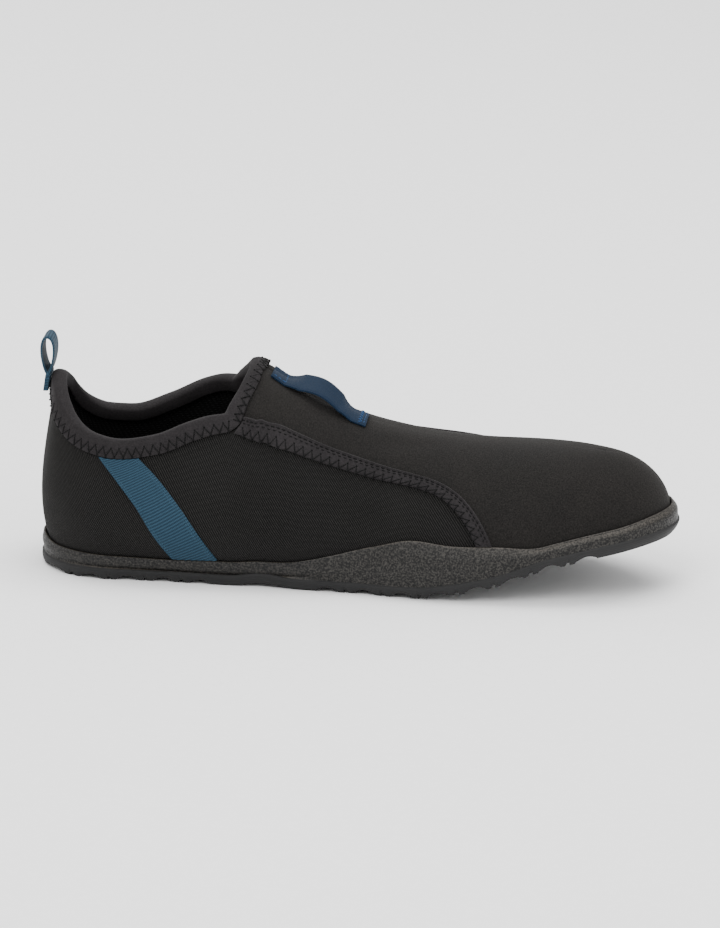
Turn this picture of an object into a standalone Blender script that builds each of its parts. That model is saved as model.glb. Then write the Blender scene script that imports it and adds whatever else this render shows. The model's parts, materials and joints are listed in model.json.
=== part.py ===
"""Left water shoe: knitted neoprene upper on a cupped rubber sole.

The shoe lies along X with its toe at +X. Its outer side is at +Y, its inner side at -Y, up is +Z.
Every piece is worked out from the named sizes and the short tables below. The tables hold shares
of those sizes. "around" runs from 0 at the middle of the heel to 1 at the middle of the toe, along
either side of the shoe, and "rise" from 0 at the sole to 1 at the top line.
"""
import bpy
from collections import namedtuple
from functools import lru_cache
from math import cos, pi, radians, sin
from mathutils import Matrix, Vector
from mathutils.bvhtree import BVHTree

# Whole shoe, in metres
LENGTH = 0.270
BALL_WIDTH = 0.105
INSTEP_HEIGHT = 0.088

# Lasted edge, where the upper meets the sole
HEEL_ROUND = 0.031
TOE_ROUND = 0.058

# Wall, sole and insole
WALL = 0.0025
SOLE_THICKNESS = 0.0070
TOE_SPRING = 0.024
RIM_HEIGHT = 0.025
RIM_THICKNESS = 0.0012
SIDE_THICKNESS = 0.0030
SIDE_STEP = 0.0006
STEP_HEIGHT = 0.0045
EDGE_TUCK = 0.0020
INSOLE_THICKNESS = 0.0030
INSOLE_MARGIN = 0.0012
CLEARANCE = 0.0004
LASTED_SET_IN = CLEARANCE + SIDE_THICKNESS + SIDE_STEP

# Tread: round-topped grooves across the heel and the forefoot, with lugs between them
LUG_PITCH = 0.0153
GROOVE_WIDTH = 0.0094
GROOVE_DEPTH = 0.0020
GROOVE_BEND = 0.0030
HEEL_GROOVE_START = 0.0100
HEEL_GROOVES = 5
FORE_GROOVE_START = 0.1245
FORE_GROOVES = 8
GROOVE_STEPS = 6
GROOVE_REACH = 0.65
GROOVE_SECTION = [
    (-0.5, -1.0),
    (-0.5, 0.0),
    (-0.36, 0.72),
    (0.0, 1.0),
    (0.36, 0.72),
    (0.5, 0.0),
    (0.5, -1.0),
]

# Bindings round the opening, tapes along the vamp, heel straps and loops
SEAT = 0.0003
BINDING_SEAT = 0.0007
TAPE_SEAT = 0.0005
BINDING_THICKNESS = 0.0008
BINDING_BAND = 0.0070
BINDING_LINING = 0.0045
CORNER_GAP = 0.0003
TAPE_THICKNESS = 0.0008
STRAP_THICKNESS = 0.0009
LABEL_THICKNESS = 0.0012
LABEL_LENGTH = 0.0445
LABEL_WIDTH = 0.0140
LABEL_BOW = 0.0048
LABEL_FULLNESS = 1.4
LABEL_SEWN = 0.14
LABEL_START_ASIDE = 0.0010
LABEL_END_ASIDE = 0.0040
LABEL_ROLL = 15.0
LOOP_WIDTH = 0.0130
LOOP_HEIGHT = 0.0170
LOOP_DEPTH = 0.0078
LOOP_THICKNESS = 0.0011
LOOP_NECK_FULLNESS = 0.55
EYE_BOTTOM = 1.6
EYE_TOP = 1.0

# Fineness of the surfaces. Slopes are read over a short share of the way or of the rise.
LINES = 48
ROWS = 13
RIM_ROWS = 3
LOOP_STEPS = 14
LABEL_STEPS = 16
LABEL_ACROSS = 4
OPENING_STEPS = 60
WAY_STEP = 0.002
SLOPE_STEP = 0.004
HALVINGS = 24
SHARP_ANGLE = 0.7

LATERAL = 1.0
MEDIAL = -1.0

# Lasted edge and top line of the upper. Widths are shares of the ball width, the top line's
# places shares of the length, and its heights shares of the instep height.
Section = namedtuple(
    "Section",
    "around centre base_lateral base_medial top_along top_centre top_half height_lateral height_medial",
)
SECTIONS = [
    Section(0.000, 0.036, 0.285, 0.285, 0.024, 0.036, 0.255, 0.915, 0.915),
    Section(0.045, 0.036, 0.285, 0.285, 0.031, 0.030, 0.250, 0.869, 0.869),
    Section(0.100, 0.035, 0.286, 0.285, 0.062, 0.020, 0.246, 0.744, 0.744),
    Section(0.135, 0.034, 0.288, 0.286, 0.096, 0.014, 0.252, 0.693, 0.690),
    Section(0.170, 0.032, 0.290, 0.288, 0.134, 0.016, 0.270, 0.682, 0.672),
    Section(0.220, 0.026, 0.298, 0.294, 0.192, 0.026, 0.284, 0.736, 0.698),
    Section(0.265, 0.018, 0.308, 0.302, 0.246, 0.036, 0.272, 0.812, 0.760),
    Section(0.290, 0.014, 0.318, 0.307, 0.276, 0.035, 0.254, 0.840, 0.786),
    Section(0.312, 0.011, 0.328, 0.311, 0.300, 0.030, 0.225, 0.850, 0.794),
    Section(0.326, 0.010, 0.335, 0.314, 0.310, 0.026, 0.180, 0.894, 0.846),
    Section(0.342, 0.008, 0.343, 0.316, 0.322, 0.023, 0.122, 0.940, 0.906),
    Section(0.358, 0.005, 0.354, 0.320, 0.332, 0.020, 0.062, 0.982, 0.968),
    Section(0.375, 0.002, 0.366, 0.324, 0.335, 0.018, 0.000, 1.000, 1.000),
    Section(0.430, -0.010, 0.424, 0.336, 0.384, 0.012, 0.000, 0.909, 0.909),
    Section(0.490, -0.022, 0.472, 0.350, 0.456, -0.008, 0.000, 0.800, 0.800),
    Section(0.550, -0.040, 0.503, 0.379, 0.540, -0.030, 0.000, 0.727, 0.727),
    Section(0.610, -0.060, 0.524, 0.394, 0.620, -0.050, 0.000, 0.686, 0.686),
    Section(0.680, -0.080, 0.515, 0.384, 0.706, -0.074, 0.000, 0.667, 0.667),
    Section(0.740, -0.100, 0.486, 0.362, 0.770, -0.094, 0.000, 0.668, 0.668),
    Section(0.800, -0.115, 0.455, 0.360, 0.818, -0.110, 0.000, 0.666, 0.666),
    Section(0.860, -0.124, 0.420, 0.364, 0.850, -0.122, 0.000, 0.661, 0.661),
    Section(0.930, -0.128, 0.390, 0.368, 0.872, -0.128, 0.000, 0.655, 0.655),
    Section(1.000, -0.130, 0.378, 0.378, 0.880, -0.130, 0.000, 0.650, 0.650),
]
THROAT = 12

# How the wall swells between its lasted edge and its top line. Outward pulls are shares of the
# ball width, upward pulls shares of the wall's rise, and the reach is a share of the way out.
Swell = namedtuple("Swell", "around low_lateral low_medial low_up high_reach high_out high_down")
SWELLS = [
    Swell(0.000, 0.080, 0.080, 0.300, 0.00, 0.035, 0.36),
    Swell(0.100, 0.125, 0.105, 0.300, 0.00, 0.045, 0.38),
    Swell(0.170, 0.135, 0.140, 0.320, 0.00, 0.070, 0.40),
    Swell(0.265, 0.165, 0.195, 0.300, 0.20, 0.060, 0.38),
    Swell(0.305, 0.185, 0.210, 0.290, 0.50, 0.030, 0.26),
    Swell(0.340, 0.190, 0.220, 0.280, 0.62, 0.000, 0.12),
    Swell(0.375, 0.170, 0.215, 0.280, 0.62, 0.000, 0.00),
    Swell(0.430, 0.060, 0.150, 0.300, 0.60, 0.000, 0.00),
    Swell(0.490, -0.010, 0.075, 0.330, 0.58, 0.000, 0.00),
    Swell(0.550, -0.055, 0.060, 0.360, 0.58, 0.000, 0.00),
    Swell(0.610, -0.060, 0.045, 0.400, 0.58, 0.000, 0.00),
    Swell(0.680, -0.040, 0.020, 0.420, 0.60, 0.000, 0.00),
    Swell(0.800, 0.000, 0.010, 0.440, 0.60, 0.000, 0.00),
    Swell(1.000, 0.015, 0.015, 0.460, 0.60, 0.000, 0.00),
]

# Sole from the side. The bottom and the bed are shares of the toe spring, the rims shares of
# the rim height, and "along" is a share of the length.
Profile = namedtuple("Profile", "along bottom bed rim_lateral rim_medial tuck")
PROFILES = [
    Profile(0.00, 0.02, 0.04, 0.56, 0.56, 0.10),
    Profile(0.04, 0.00, 0.00, 0.46, 0.46, 0.20),
    Profile(0.20, 0.00, 0.00, 0.43, 0.43, 1.00),
    Profile(0.31, 0.00, 0.00, 0.46, 0.46, 1.00),
    Profile(0.36, 0.07, 0.02, 0.44, 0.42, 1.00),
    Profile(0.42, 0.00, 0.02, 0.54, 0.52, 1.00),
    Profile(0.48, 0.00, 0.00, 0.64, 0.66, 1.00),
    Profile(0.54, 0.00, 0.00, 0.78, 0.82, 1.00),
    Profile(0.60, 0.02, 0.02, 0.92, 0.95, 1.00),
    Profile(0.66, 0.12, 0.13, 0.92, 0.81, 1.00),
    Profile(0.73, 0.31, 0.32, 0.66, 0.64, 1.00),
    Profile(0.80, 0.60, 0.60, 0.42, 0.40, 1.00),
    Profile(0.90, 0.86, 0.86, 0.40, 0.40, 1.00),
    Profile(1.00, 1.00, 1.00, 0.46, 0.46, 1.00),
]

# The tapes lie between two edges, each place a share of the way around and a rise. They start at
# the binding and end at the sole's rim.
Rises = namedtuple("Rises", "front_around front_rise back_around back_rise")
MEDIAL_TAPE = [
    Rises(0.342, 0.780, 0.325, 0.782),
    Rises(0.354, 0.702, 0.344, 0.662),
    Rises(0.365, 0.652, 0.355, 0.603),
    Rises(0.381, 0.628, 0.368, 0.558),
    Rises(0.404, 0.634, 0.391, 0.539),
    Rises(0.430, 0.632, 0.416, 0.541),
    Rises(0.460, 0.625, 0.445, 0.538),
    Rises(0.490, 0.625, 0.472, 0.537),
    Rises(0.517, 0.622, 0.498, 0.537),
    Rises(0.545, 0.613, 0.525, 0.536),
    Rises(0.572, 0.602, 0.551, 0.535),
    Rises(0.600, 0.576, 0.578, 0.524),
    Rises(0.625, 0.508, 0.603, 0.482),
    Rises(0.644, 0.405, 0.622, 0.398),
    Rises(0.657, 0.288, 0.636, 0.295),
    Rises(0.666, 0.170, 0.645, 0.186),
]
LATERAL_TAPE = [
    Rises(0.338, 0.788, 0.328, 0.755),
    Rises(0.350, 0.724, 0.342, 0.695),
    Rises(0.362, 0.676, 0.354, 0.648),
    Rises(0.382, 0.650, 0.370, 0.608),
    Rises(0.409, 0.654, 0.394, 0.604),
    Rises(0.440, 0.668, 0.424, 0.606),
    Rises(0.473, 0.685, 0.455, 0.608),
    Rises(0.503, 0.700, 0.484, 0.611),
    Rises(0.533, 0.716, 0.512, 0.615),
    Rises(0.565, 0.734, 0.540, 0.625),
    Rises(0.597, 0.747, 0.568, 0.640),
    Rises(0.628, 0.741, 0.597, 0.655),
    Rises(0.656, 0.690, 0.622, 0.640),
    Rises(0.677, 0.580, 0.644, 0.558),
    Rises(0.689, 0.420, 0.659, 0.425),
    Rises(0.695, 0.270, 0.668, 0.288),
    Rises(0.698, 0.126, 0.672, 0.172),
]

# The straps lie between two edges, each place a share of the way around and a share of the way
# from the sole's rim to the binding.
Edges = namedtuple("Edges", "front_around front_share back_around back_share")
MEDIAL_STRAP = [
    Edges(0.200, 1.00, 0.144, 1.00),
    Edges(0.226, 0.80, 0.168, 0.82),
    Edges(0.252, 0.54, 0.193, 0.58),
    Edges(0.276, 0.26, 0.214, 0.28),
    Edges(0.297, 0.00, 0.235, 0.00),
]
LATERAL_STRAP = [
    Edges(0.216, 1.00, 0.160, 1.00),
    Edges(0.242, 0.79, 0.186, 0.81),
    Edges(0.266, 0.54, 0.211, 0.57),
    Edges(0.289, 0.26, 0.232, 0.28),
    Edges(0.308, 0.00, 0.252, 0.00),
]
CORNER_LINE = 15
THROAT_LINE = round(SECTIONS[THROAT].around * LINES)
ARCH_SPLIT = 2


def read_table(rows, column, at):
    """A column's value between its rows, on a smooth curve that never overshoots them."""
    places = [row[0] for row in rows]
    values = [getattr(row, column) for row in rows]
    last = len(rows) - 1
    if at <= places[0]:
        return values[0]
    if at >= places[last]:
        return values[last]
    k = max(i for i in range(last) if places[i] <= at)

    def slope(i):
        return (values[i + 1] - values[i]) / (places[i + 1] - places[i])

    def tangent(i):
        if i in (0, last) or slope(i - 1) * slope(i) <= 0.0:
            return 0.0
        return 2.0 * slope(i - 1) * slope(i) / (slope(i - 1) + slope(i))

    span = places[k + 1] - places[k]
    t = (at - places[k]) / span
    rise = values[k + 1] - values[k]
    a = tangent(k) * span - rise
    b = rise - tangent(k + 1) * span
    return values[k] + rise * t + t * (1.0 - t) * (a * (1.0 - t) + b * t)


def turn_shares():
    """Shares of the way around at which the heel's round ends and the toe's round starts."""
    base_length = LENGTH - 2.0 * LASTED_SET_IN
    heel_arc = HEEL_ROUND * pi / 2.0
    toe_arc = TOE_ROUND * pi / 2.0
    way = heel_arc + toe_arc + base_length - HEEL_ROUND - TOE_ROUND
    return heel_arc / way, 1.0 - toe_arc / way


def station(around):
    """X of the lasted edge, and how full its width is there: 0 at the ends and 1 between."""
    heel_end, toe_start = turn_shares()
    toe_x = LENGTH - LASTED_SET_IN
    if around < heel_end:
        angle = pi / 2.0 * around / heel_end
        return LASTED_SET_IN + HEEL_ROUND * (1.0 - cos(angle)), sin(angle)
    if around > toe_start:
        angle = pi / 2.0 * (around - toe_start) / (1.0 - toe_start)
        return toe_x - TOE_ROUND * (1.0 - sin(angle)), cos(angle)
    share = (around - heel_end) / (toe_start - heel_end)
    start = LASTED_SET_IN + HEEL_ROUND
    return start + share * (toe_x - TOE_ROUND - start), 1.0


def side_column(name, side):
    return name + ("_lateral" if side > 0.0 else "_medial")


def bottom_height(x):
    return TOE_SPRING * read_table(PROFILES, "bottom", x / LENGTH)


def bed_height(x):
    return SOLE_THICKNESS + TOE_SPRING * read_table(PROFILES, "bed", x / LENGTH)


def rim_height(side, x):
    return bottom_height(x) + RIM_HEIGHT * read_table(PROFILES, side_column("rim", side), x / LENGTH)


def lasted_edge(side, around):
    """Point of the upper's outer face where it meets the sole's bed."""
    x, fullness = station(around)
    width = BALL_WIDTH * read_table(SECTIONS, side_column("base", side), around) * fullness
    centre = BALL_WIDTH * read_table(SECTIONS, "centre", around)
    return Vector((x, centre + side * width, bed_height(x)))


def outward(side, around):
    """Direction straight out of the lasted edge, in plan."""
    if around <= 0.0:
        return Vector((-1.0, 0.0, 0.0))
    if around >= 1.0:
        return Vector((1.0, 0.0, 0.0))
    run = lasted_edge(side, min(around + WAY_STEP, 1.0)) - lasted_edge(side, max(around - WAY_STEP, 0.0))
    return Vector((-side * run.y, side * run.x, 0.0)).normalized()


def top_line(side, around):
    """Point of the collar, of the throat's edge or of the instep's ridge."""
    heel_end, _ = turn_shares()
    fullness = sin(pi / 2.0 * min(around / heel_end, 1.0))
    x = LENGTH * read_table(SECTIONS, "top_along", around)
    half = BALL_WIDTH * read_table(SECTIONS, "top_half", around) * fullness
    centre = BALL_WIDTH * read_table(SECTIONS, "top_centre", around)
    height = INSTEP_HEIGHT * read_table(SECTIONS, side_column("height", side), around)
    return Vector((x, centre + side * half, height))


def wall_line(side, around):
    """The four pulls of the curve that the wall follows from the sole to the top line."""
    foot = lasted_edge(side, around)
    top = top_line(side, around)
    out = outward(side, around)
    up = Vector((0.0, 0.0, top.z - foot.z))
    low_out = BALL_WIDTH * read_table(SWELLS, side_column("low", side), around)
    low = foot + out * low_out + up * read_table(SWELLS, "low_up", around)
    way_out = Vector((foot.x - top.x, foot.y - top.y, 0.0))
    high = top + way_out * read_table(SWELLS, "high_reach", around)
    high += out * BALL_WIDTH * read_table(SWELLS, "high_out", around)
    high -= up * read_table(SWELLS, "high_down", around)
    return foot, low, high, top


def on_line(line, rise):
    foot, low, high, top = line
    fall = 1.0 - rise
    return (
        foot * fall ** 3
        + low * 3.0 * rise * fall ** 2
        + high * 3.0 * rise ** 2 * fall
        + top * rise ** 3
    )


def wall_point(side, around, rise):
    """Point of the upper's outer face."""
    return on_line(wall_line(side, around), rise)


def wall_normal(side, around, rise):
    """Direction straight out of the upper's outer face."""
    ahead = wall_point(side, min(around + SLOPE_STEP, 1.0), rise)
    behind = wall_point(side, max(around - SLOPE_STEP, 0.0), rise)
    line = wall_line(side, around)
    climb = on_line(line, min(rise + SLOPE_STEP, 1.0)) - on_line(line, max(rise - SLOPE_STEP, 0.0))
    return (climb.cross(ahead - behind) * side).normalized()


def rise_at(side, around, height):
    """How far up the wall a height is reached."""
    line = wall_line(side, around)
    low, high = 0.0, 1.0
    for _ in range(HALVINGS):
        middle = (low + high) / 2.0
        if on_line(line, middle).z < height:
            low = middle
        else:
            high = middle
    return (low + high) / 2.0


def make_solid(name, points, faces, material):
    """A named object from points and faces, smooth where it is round."""
    mesh = bpy.data.meshes.new(name)
    mesh.from_pydata([tuple(p) for p in points], [], faces)
    mesh.validate()
    mesh.shade_smooth()
    mesh.set_sharp_from_angle(angle=SHARP_ANGLE)
    mesh.materials.append(material)
    solid = bpy.data.objects.new(name, mesh)
    bpy.context.scene.collection.objects.link(solid)
    return solid


def make_material(name, colour, roughness):
    material = bpy.data.materials.new(name)
    material.use_nodes = True
    shader = material.node_tree.nodes["Principled BSDF"]
    shader.inputs["Base Color"].default_value = (*colour, 1.0)
    shader.inputs["Roughness"].default_value = roughness
    shader.inputs["Metallic"].default_value = 0.0
    material.diffuse_color = (*colour, 1.0)
    return material


def upper_stations():
    """Places around the shoe of the upper's lines of points, closer together at the throat."""
    places = []
    for k in range(LINES):
        parts = ARCH_SPLIT if CORNER_LINE <= k < THROAT_LINE else 1
        places += [(k + i / parts) / LINES for i in range(parts)]
    return places + [1.0]


def make_upper(wall, material):
    """One hollow wall, open at the collar and underneath."""
    stations = upper_stations()
    toe = len(stations) - 1
    throat = stations.index(THROAT_LINE / LINES)
    index = {}
    outer = []
    inner = []

    def key_of(side, k, j):
        shared = k in (0, toe) or (j == ROWS and k >= throat)
        return (0.0 if shared else side, k, j)

    for side in (LATERAL, MEDIAL):
        for k, around in enumerate(stations):
            out = outward(side, around)
            for j in range(ROWS + 1):
                key = key_of(side, k, j)
                if key in index:
                    continue
                index[key] = len(outer)
                rise = j / ROWS
                point = wall_point(side, around, rise)
                if j == 0:
                    point.z += CLEARANCE
                    inner.append(point - out * WALL)
                else:
                    inner.append(point - wall.normal(point) * WALL)
                outer.append(point)

    count = len(outer)
    faces = []
    for side in (LATERAL, MEDIAL):
        for k in range(toe):
            for j in range(ROWS):
                corners = [(k, j), (k + 1, j), (k + 1, j + 1), (k, j + 1)]
                quad = [index[key_of(side, *corner)] for corner in corners]
                if side > 0.0:
                    quad.reverse()
                faces.append(quad)
                faces.append([count + i for i in reversed(quad)])
        for j, last in ((0, toe), (ROWS, throat)):
            for k in range(last):
                a = index[key_of(side, k, j)]
                b = index[key_of(side, k + 1, j)]
                strip = [a, b, count + b, count + a]
                if (side > 0.0) == (j > 0):
                    strip.reverse()
                faces.append(strip)
    return make_solid("upper", outer + inner, faces, material)


def sole_ring(side, around):
    """Points of the sole from its bed, up inside the rim, over it and down to the bottom edge."""
    foot = lasted_edge(side, around)
    out = outward(side, around)
    rim = rise_at(side, around, rim_height(side, foot.x))
    points = [foot + out * CLEARANCE]
    for i in range(1, RIM_ROWS + 1):
        rise = rim * i / RIM_ROWS
        points.append(wall_point(side, around, rise) + wall_normal(side, around, rise) * CLEARANCE)
    for i in range(RIM_ROWS, 0, -1):
        share = i / RIM_ROWS
        rise = rim * share
        thickness = SIDE_THICKNESS + (RIM_THICKNESS - SIDE_THICKNESS) * share
        normal = wall_normal(side, around, rise)
        points.append(wall_point(side, around, rise) + normal * (CLEARANCE + thickness))
    reach = CLEARANCE + SIDE_THICKNESS
    ground = bottom_height(foot.x)
    edge = foot + out * reach
    points.append(Vector((edge.x, edge.y, ground + STEP_HEIGHT + SIDE_STEP)))
    step = foot + out * (reach + SIDE_STEP)
    points.append(Vector((step.x, step.y, ground + STEP_HEIGHT)))
    tuck = foot + out * (reach - EDGE_TUCK * read_table(PROFILES, "tuck", foot.x / LENGTH))
    points.append(Vector((tuck.x, tuck.y, ground)))
    return points


def make_outsole(material):
    """Rubber cup: a bed, a rim that climbs at the ball of the foot, and a sprung toe."""
    rings = {}
    for side in (LATERAL, MEDIAL):
        for k in range(LINES + 1):
            rings[side, k] = sole_ring(side, k / LINES)
    depth = len(rings[LATERAL, 0])
    points = []
    index = {}
    for side in (LATERAL, MEDIAL):
        for k in range(LINES + 1):
            for j in range(depth):
                if k in (0, LINES) and side == MEDIAL:
                    index[side, k, j] = index[LATERAL, k, j]
                    continue
                index[side, k, j] = len(points)
                points.append(rings[side, k][j])
    faces = []
    for side in (LATERAL, MEDIAL):
        for k in range(LINES):
            for j in range(depth - 1):
                corners = [(k, j), (k + 1, j), (k + 1, j + 1), (k, j + 1)]
                quad = [index[side, *corner] for corner in corners]
                if side < 0.0:
                    quad.reverse()
                faces.append(quad)
    for k in range(LINES):
        for j, upward in ((0, True), (depth - 1, False)):
            cap = [
                index[LATERAL, k, j],
                index[MEDIAL, k, j],
                index[MEDIAL, k + 1, j],
                index[LATERAL, k + 1, j],
            ]
            cap = list(dict.fromkeys(cap))
            if not upward:
                cap.reverse()
            faces.append(cap)
    return make_solid("outsole", points, faces, material)


def make_insole(material):
    """Thin pad on the sole's bed, inside the upper's wall."""
    points = []
    index = {}
    for side in (LATERAL, MEDIAL):
        for k in range(LINES + 1):
            for j in range(2):
                if k in (0, LINES) and side == MEDIAL:
                    index[side, k, j] = index[LATERAL, k, j]
                    continue
                foot = lasted_edge(side, k / LINES)
                out = outward(side, k / LINES)
                level = foot.z + CLEARANCE + INSOLE_THICKNESS
                lean = foot - wall_point(side, k / LINES, rise_at(side, k / LINES, level))
                point = foot - out * (WALL + INSOLE_MARGIN + max(lean.dot(out), 0.0))
                point.z += CLEARANCE + j * INSOLE_THICKNESS
                index[side, k, j] = len(points)
                points.append(point)
    faces = []
    for k in range(LINES):
        for side in (LATERAL, MEDIAL):
            quad = [index[side, k, 0], index[side, k + 1, 0], index[side, k + 1, 1], index[side, k, 1]]
            if side > 0.0:
                quad.reverse()
            faces.append(quad)
        for j in (0, 1):
            cap = [
                index[LATERAL, k, j],
                index[MEDIAL, k, j],
                index[MEDIAL, k + 1, j],
                index[LATERAL, k + 1, j],
            ]
            cap = list(dict.fromkeys(cap))
            if j == 0:
                cap.reverse()
            faces.append(cap)
    return make_solid("insole", points, faces, material)


class Wall:
    """The upper's outer face as a fine net, on which other pieces are laid."""

    AROUND_CELLS = 144
    RISE_CELLS = 36
    NORMAL_REACH = 0.0020

    def __init__(self):
        points = []
        faces = []
        for side in (LATERAL, MEDIAL):
            start = len(points)
            for k in range(self.AROUND_CELLS + 1):
                line = wall_line(side, k / self.AROUND_CELLS)
                points += [on_line(line, j / self.RISE_CELLS) for j in range(self.RISE_CELLS + 1)]
            row = self.RISE_CELLS + 1
            for k in range(self.AROUND_CELLS):
                for j in range(self.RISE_CELLS):
                    a = start + k * row + j
                    quad = [a, a + row, a + row + 1, a + 1]
                    if side > 0.0:
                        quad.reverse()
                    faces.append(quad)
        self.tree = BVHTree.FromPolygons(points, faces)

    def normal(self, point):
        """Direction straight out of the wall, evened over its nearest faces."""
        near = self.tree.find_nearest_range(point, self.NORMAL_REACH)
        total = Vector((0.0, 0.0, 0.0))
        for hit in near:
            total += hit[1]
        return total.normalized()

    def lay(self, point, lift):
        """The place on the wall nearest to a point, lifted off it."""
        place = self.tree.find_nearest(point)[0]
        return place + self.normal(place) * lift


def curve_through(points, share):
    """Point on a smooth curve through a list of points."""
    spans = len(points) - 1
    k = min(int(share * spans), spans - 1)
    t = share * spans - k
    before = points[k - 1] if k > 0 else points[0] * 2.0 - points[1]
    after = points[k + 2] if k + 2 <= spans else points[spans] * 2.0 - points[spans - 1]
    a, b = points[k], points[k + 1]
    return (
        a
        + (b - before) * (t / 2.0)
        + (before * 2.0 - a * 5.0 + b * 4.0 - after) * (t * t / 2.0)
        + (a * 3.0 - before - b * 3.0 + after) * (t * t * t / 2.0)
    )


@lru_cache(maxsize=None)
def opening_edge():
    """Points all round the edge of the opening."""
    places = [SECTIONS[THROAT].around * k / OPENING_STEPS for k in range(OPENING_STEPS + 1)]
    return [top_line(side, place) for side in (LATERAL, MEDIAL) for place in places]


def binding_foot(side, around):
    """How far up the wall a piece can reach before it meets the bindings."""
    line = wall_line(side, around)
    rise = 1.0
    while rise > 0.0:
        point = on_line(line, rise)
        if min((point - edge).length for edge in opening_edge()) > BINDING_BAND + CLEARANCE:
            return rise
        rise -= SLOPE_STEP
    return rise


def place_between(side, around, share):
    """Point of the wall a share of the way from the sole's rim to the binding or the ridge."""
    foot = lasted_edge(side, around)
    low = rise_at(side, around, rim_height(side, foot.x) + RIM_THICKNESS / 2.0)
    high = binding_foot(side, around)
    return wall_point(side, around, low + (high - low) * share)


def place_at(side, around, rise):
    """Point of the wall at a rise, kept between the sole's rim and the binding."""
    foot = lasted_edge(side, around)
    low = rise_at(side, around, rim_height(side, foot.x) + RIM_THICKNESS / 2.0)
    return wall_point(side, around, min(max(rise, low), binding_foot(side, around)))


def close_sheet(upper_rows, lower_rows, name, material):
    """A closed solid between two nets of points with the same rows and columns."""
    rows = len(upper_rows)
    columns = len(upper_rows[0])
    points = [p for row in upper_rows for p in row] + [p for row in lower_rows for p in row]
    below = rows * columns
    faces = []
    for i in range(rows - 1):
        for j in range(columns - 1):
            a = i * columns + j
            quad = [a, a + columns, a + columns + 1, a + 1]
            faces.append(quad)
            faces.append([below + v for v in reversed(quad)])
        for j, flip in ((0, False), (columns - 1, True)):
            a = i * columns + j
            quad = [a, below + a, below + a + columns, a + columns]
            if flip:
                quad.reverse()
            faces.append(quad)
    for j in range(columns - 1):
        for i, flip in ((0, True), (rows - 1, False)):
            a = i * columns + j
            quad = [a, below + a, below + a + 1, a + 1]
            if flip:
                quad.reverse()
            faces.append(quad)
    first = upper_rows[0][0]
    facing = (upper_rows[1][0] - first).cross(upper_rows[0][1] - first)
    if facing.dot(first - lower_rows[0][0]) < 0.0:
        faces = [list(reversed(face)) for face in faces]
    return make_solid(name, points, faces, material)


def make_band(name, wall, side, table, place, seat, thickness, steps, across, material):
    """A flat strip laid on the wall between the two edges of a table."""
    fronts = [Vector(row[:2]) for row in table]
    backs = [Vector(row[2:]) for row in table]
    upper_rows = []
    lower_rows = []
    for i in range(steps + 1):
        front = curve_through(fronts, i / steps)
        back = curve_through(backs, i / steps)
        spots = [front.lerp(back, j / across) for j in range(across + 1)]
        places = [place(side, spot.x, min(max(spot.y, 0.0), 1.0)) for spot in spots]
        upper_rows.append([wall.lay(spot, seat + thickness) for spot in places])
        lower_rows.append([wall.lay(spot, seat) for spot in places])
    return close_sheet(upper_rows, lower_rows, name, material)


def opening_frame(wall, side, around):
    """Edge point of the opening, the wall's normal there and the way down its face."""
    edge = top_line(side, around)
    ahead = top_line(side, min(around + SLOPE_STEP, SECTIONS[THROAT].around))
    behind = top_line(side, max(around - SLOPE_STEP, 0.0))
    if around <= 0.0:
        along = Vector((0.0, side, 0.0))
    elif around >= SECTIONS[THROAT].around:
        along = Vector((0.0, -side, 0.0))
    else:
        along = (ahead - behind).normalized()
    normal = wall.normal(edge)
    normal = (normal - along * normal.dot(along)).normalized()
    return edge, normal, normal.cross(along) * side


def binding_profile(wall, side, around):
    """Section of the binding: down the outside, over the edge and down the inside."""
    edge, normal, down = opening_frame(wall, side, around)
    over = BINDING_SEAT + BINDING_THICKNESS
    inside = WALL + 2.0 * BINDING_SEAT
    lining = inside + BINDING_THICKNESS
    half = edge + down * (BINDING_BAND / 2.0)
    full = edge + down * BINDING_BAND
    deep = edge + down * BINDING_LINING
    return [
        wall.lay(full, over),
        wall.lay(half, over),
        edge + normal * over,
        edge + normal * (over * 0.5) - down * over,
        edge - normal * (WALL + over * 0.5) - down * over,
        edge - normal * lining,
        wall.lay(deep, -lining),
        wall.lay(deep, -inside),
        edge - normal * inside - down * BINDING_SEAT,
        edge + normal * BINDING_SEAT - down * BINDING_SEAT,
        wall.lay(half, BINDING_SEAT),
        wall.lay(full, BINDING_SEAT),
    ]


def draw_back(end, inner):
    """An end section moved a little towards the section before it."""
    share = CORNER_GAP / (end[2] - inner[2]).length
    return [a.lerp(b, share) for a, b in zip(end, inner)]


def sweep_profiles(name, profiles, material):
    """A closed solid through a row of equal sections, with flat ends."""
    size = len(profiles[0])
    points = [p for profile in profiles for p in profile]
    faces = []
    for i in range(len(profiles) - 1):
        for j in range(size):
            a = i * size + j
            b = i * size + (j + 1) % size
            faces.append([a, b, b + size, a + size])
    faces.append(list(reversed(range(size))))
    faces.append([(len(profiles) - 1) * size + j for j in range(size)])
    return make_solid(name, points, faces, material)


def make_bindings(wall, material):
    """Collar binding round the ankle and throat binding across the instep."""
    stations = upper_stations()
    throat = stations.index(THROAT_LINE / LINES)
    collar = [(MEDIAL, place) for place in stations[CORNER_LINE:0:-1]]
    collar += [(LATERAL, place) for place in stations[:CORNER_LINE + 1]]
    front = [(LATERAL, place) for place in stations[CORNER_LINE:throat]]
    front += [(MEDIAL, place) for place in reversed(stations[CORNER_LINE:throat + 1])]
    for name, row in (("collar_binding", collar), ("throat_binding", front)):
        profiles = [binding_profile(wall, side, place) for side, place in row]
        profiles[0] = draw_back(profiles[0], profiles[1])
        profiles[-1] = draw_back(profiles[-1], profiles[-2])
        sweep_profiles(name, profiles, material)


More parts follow.
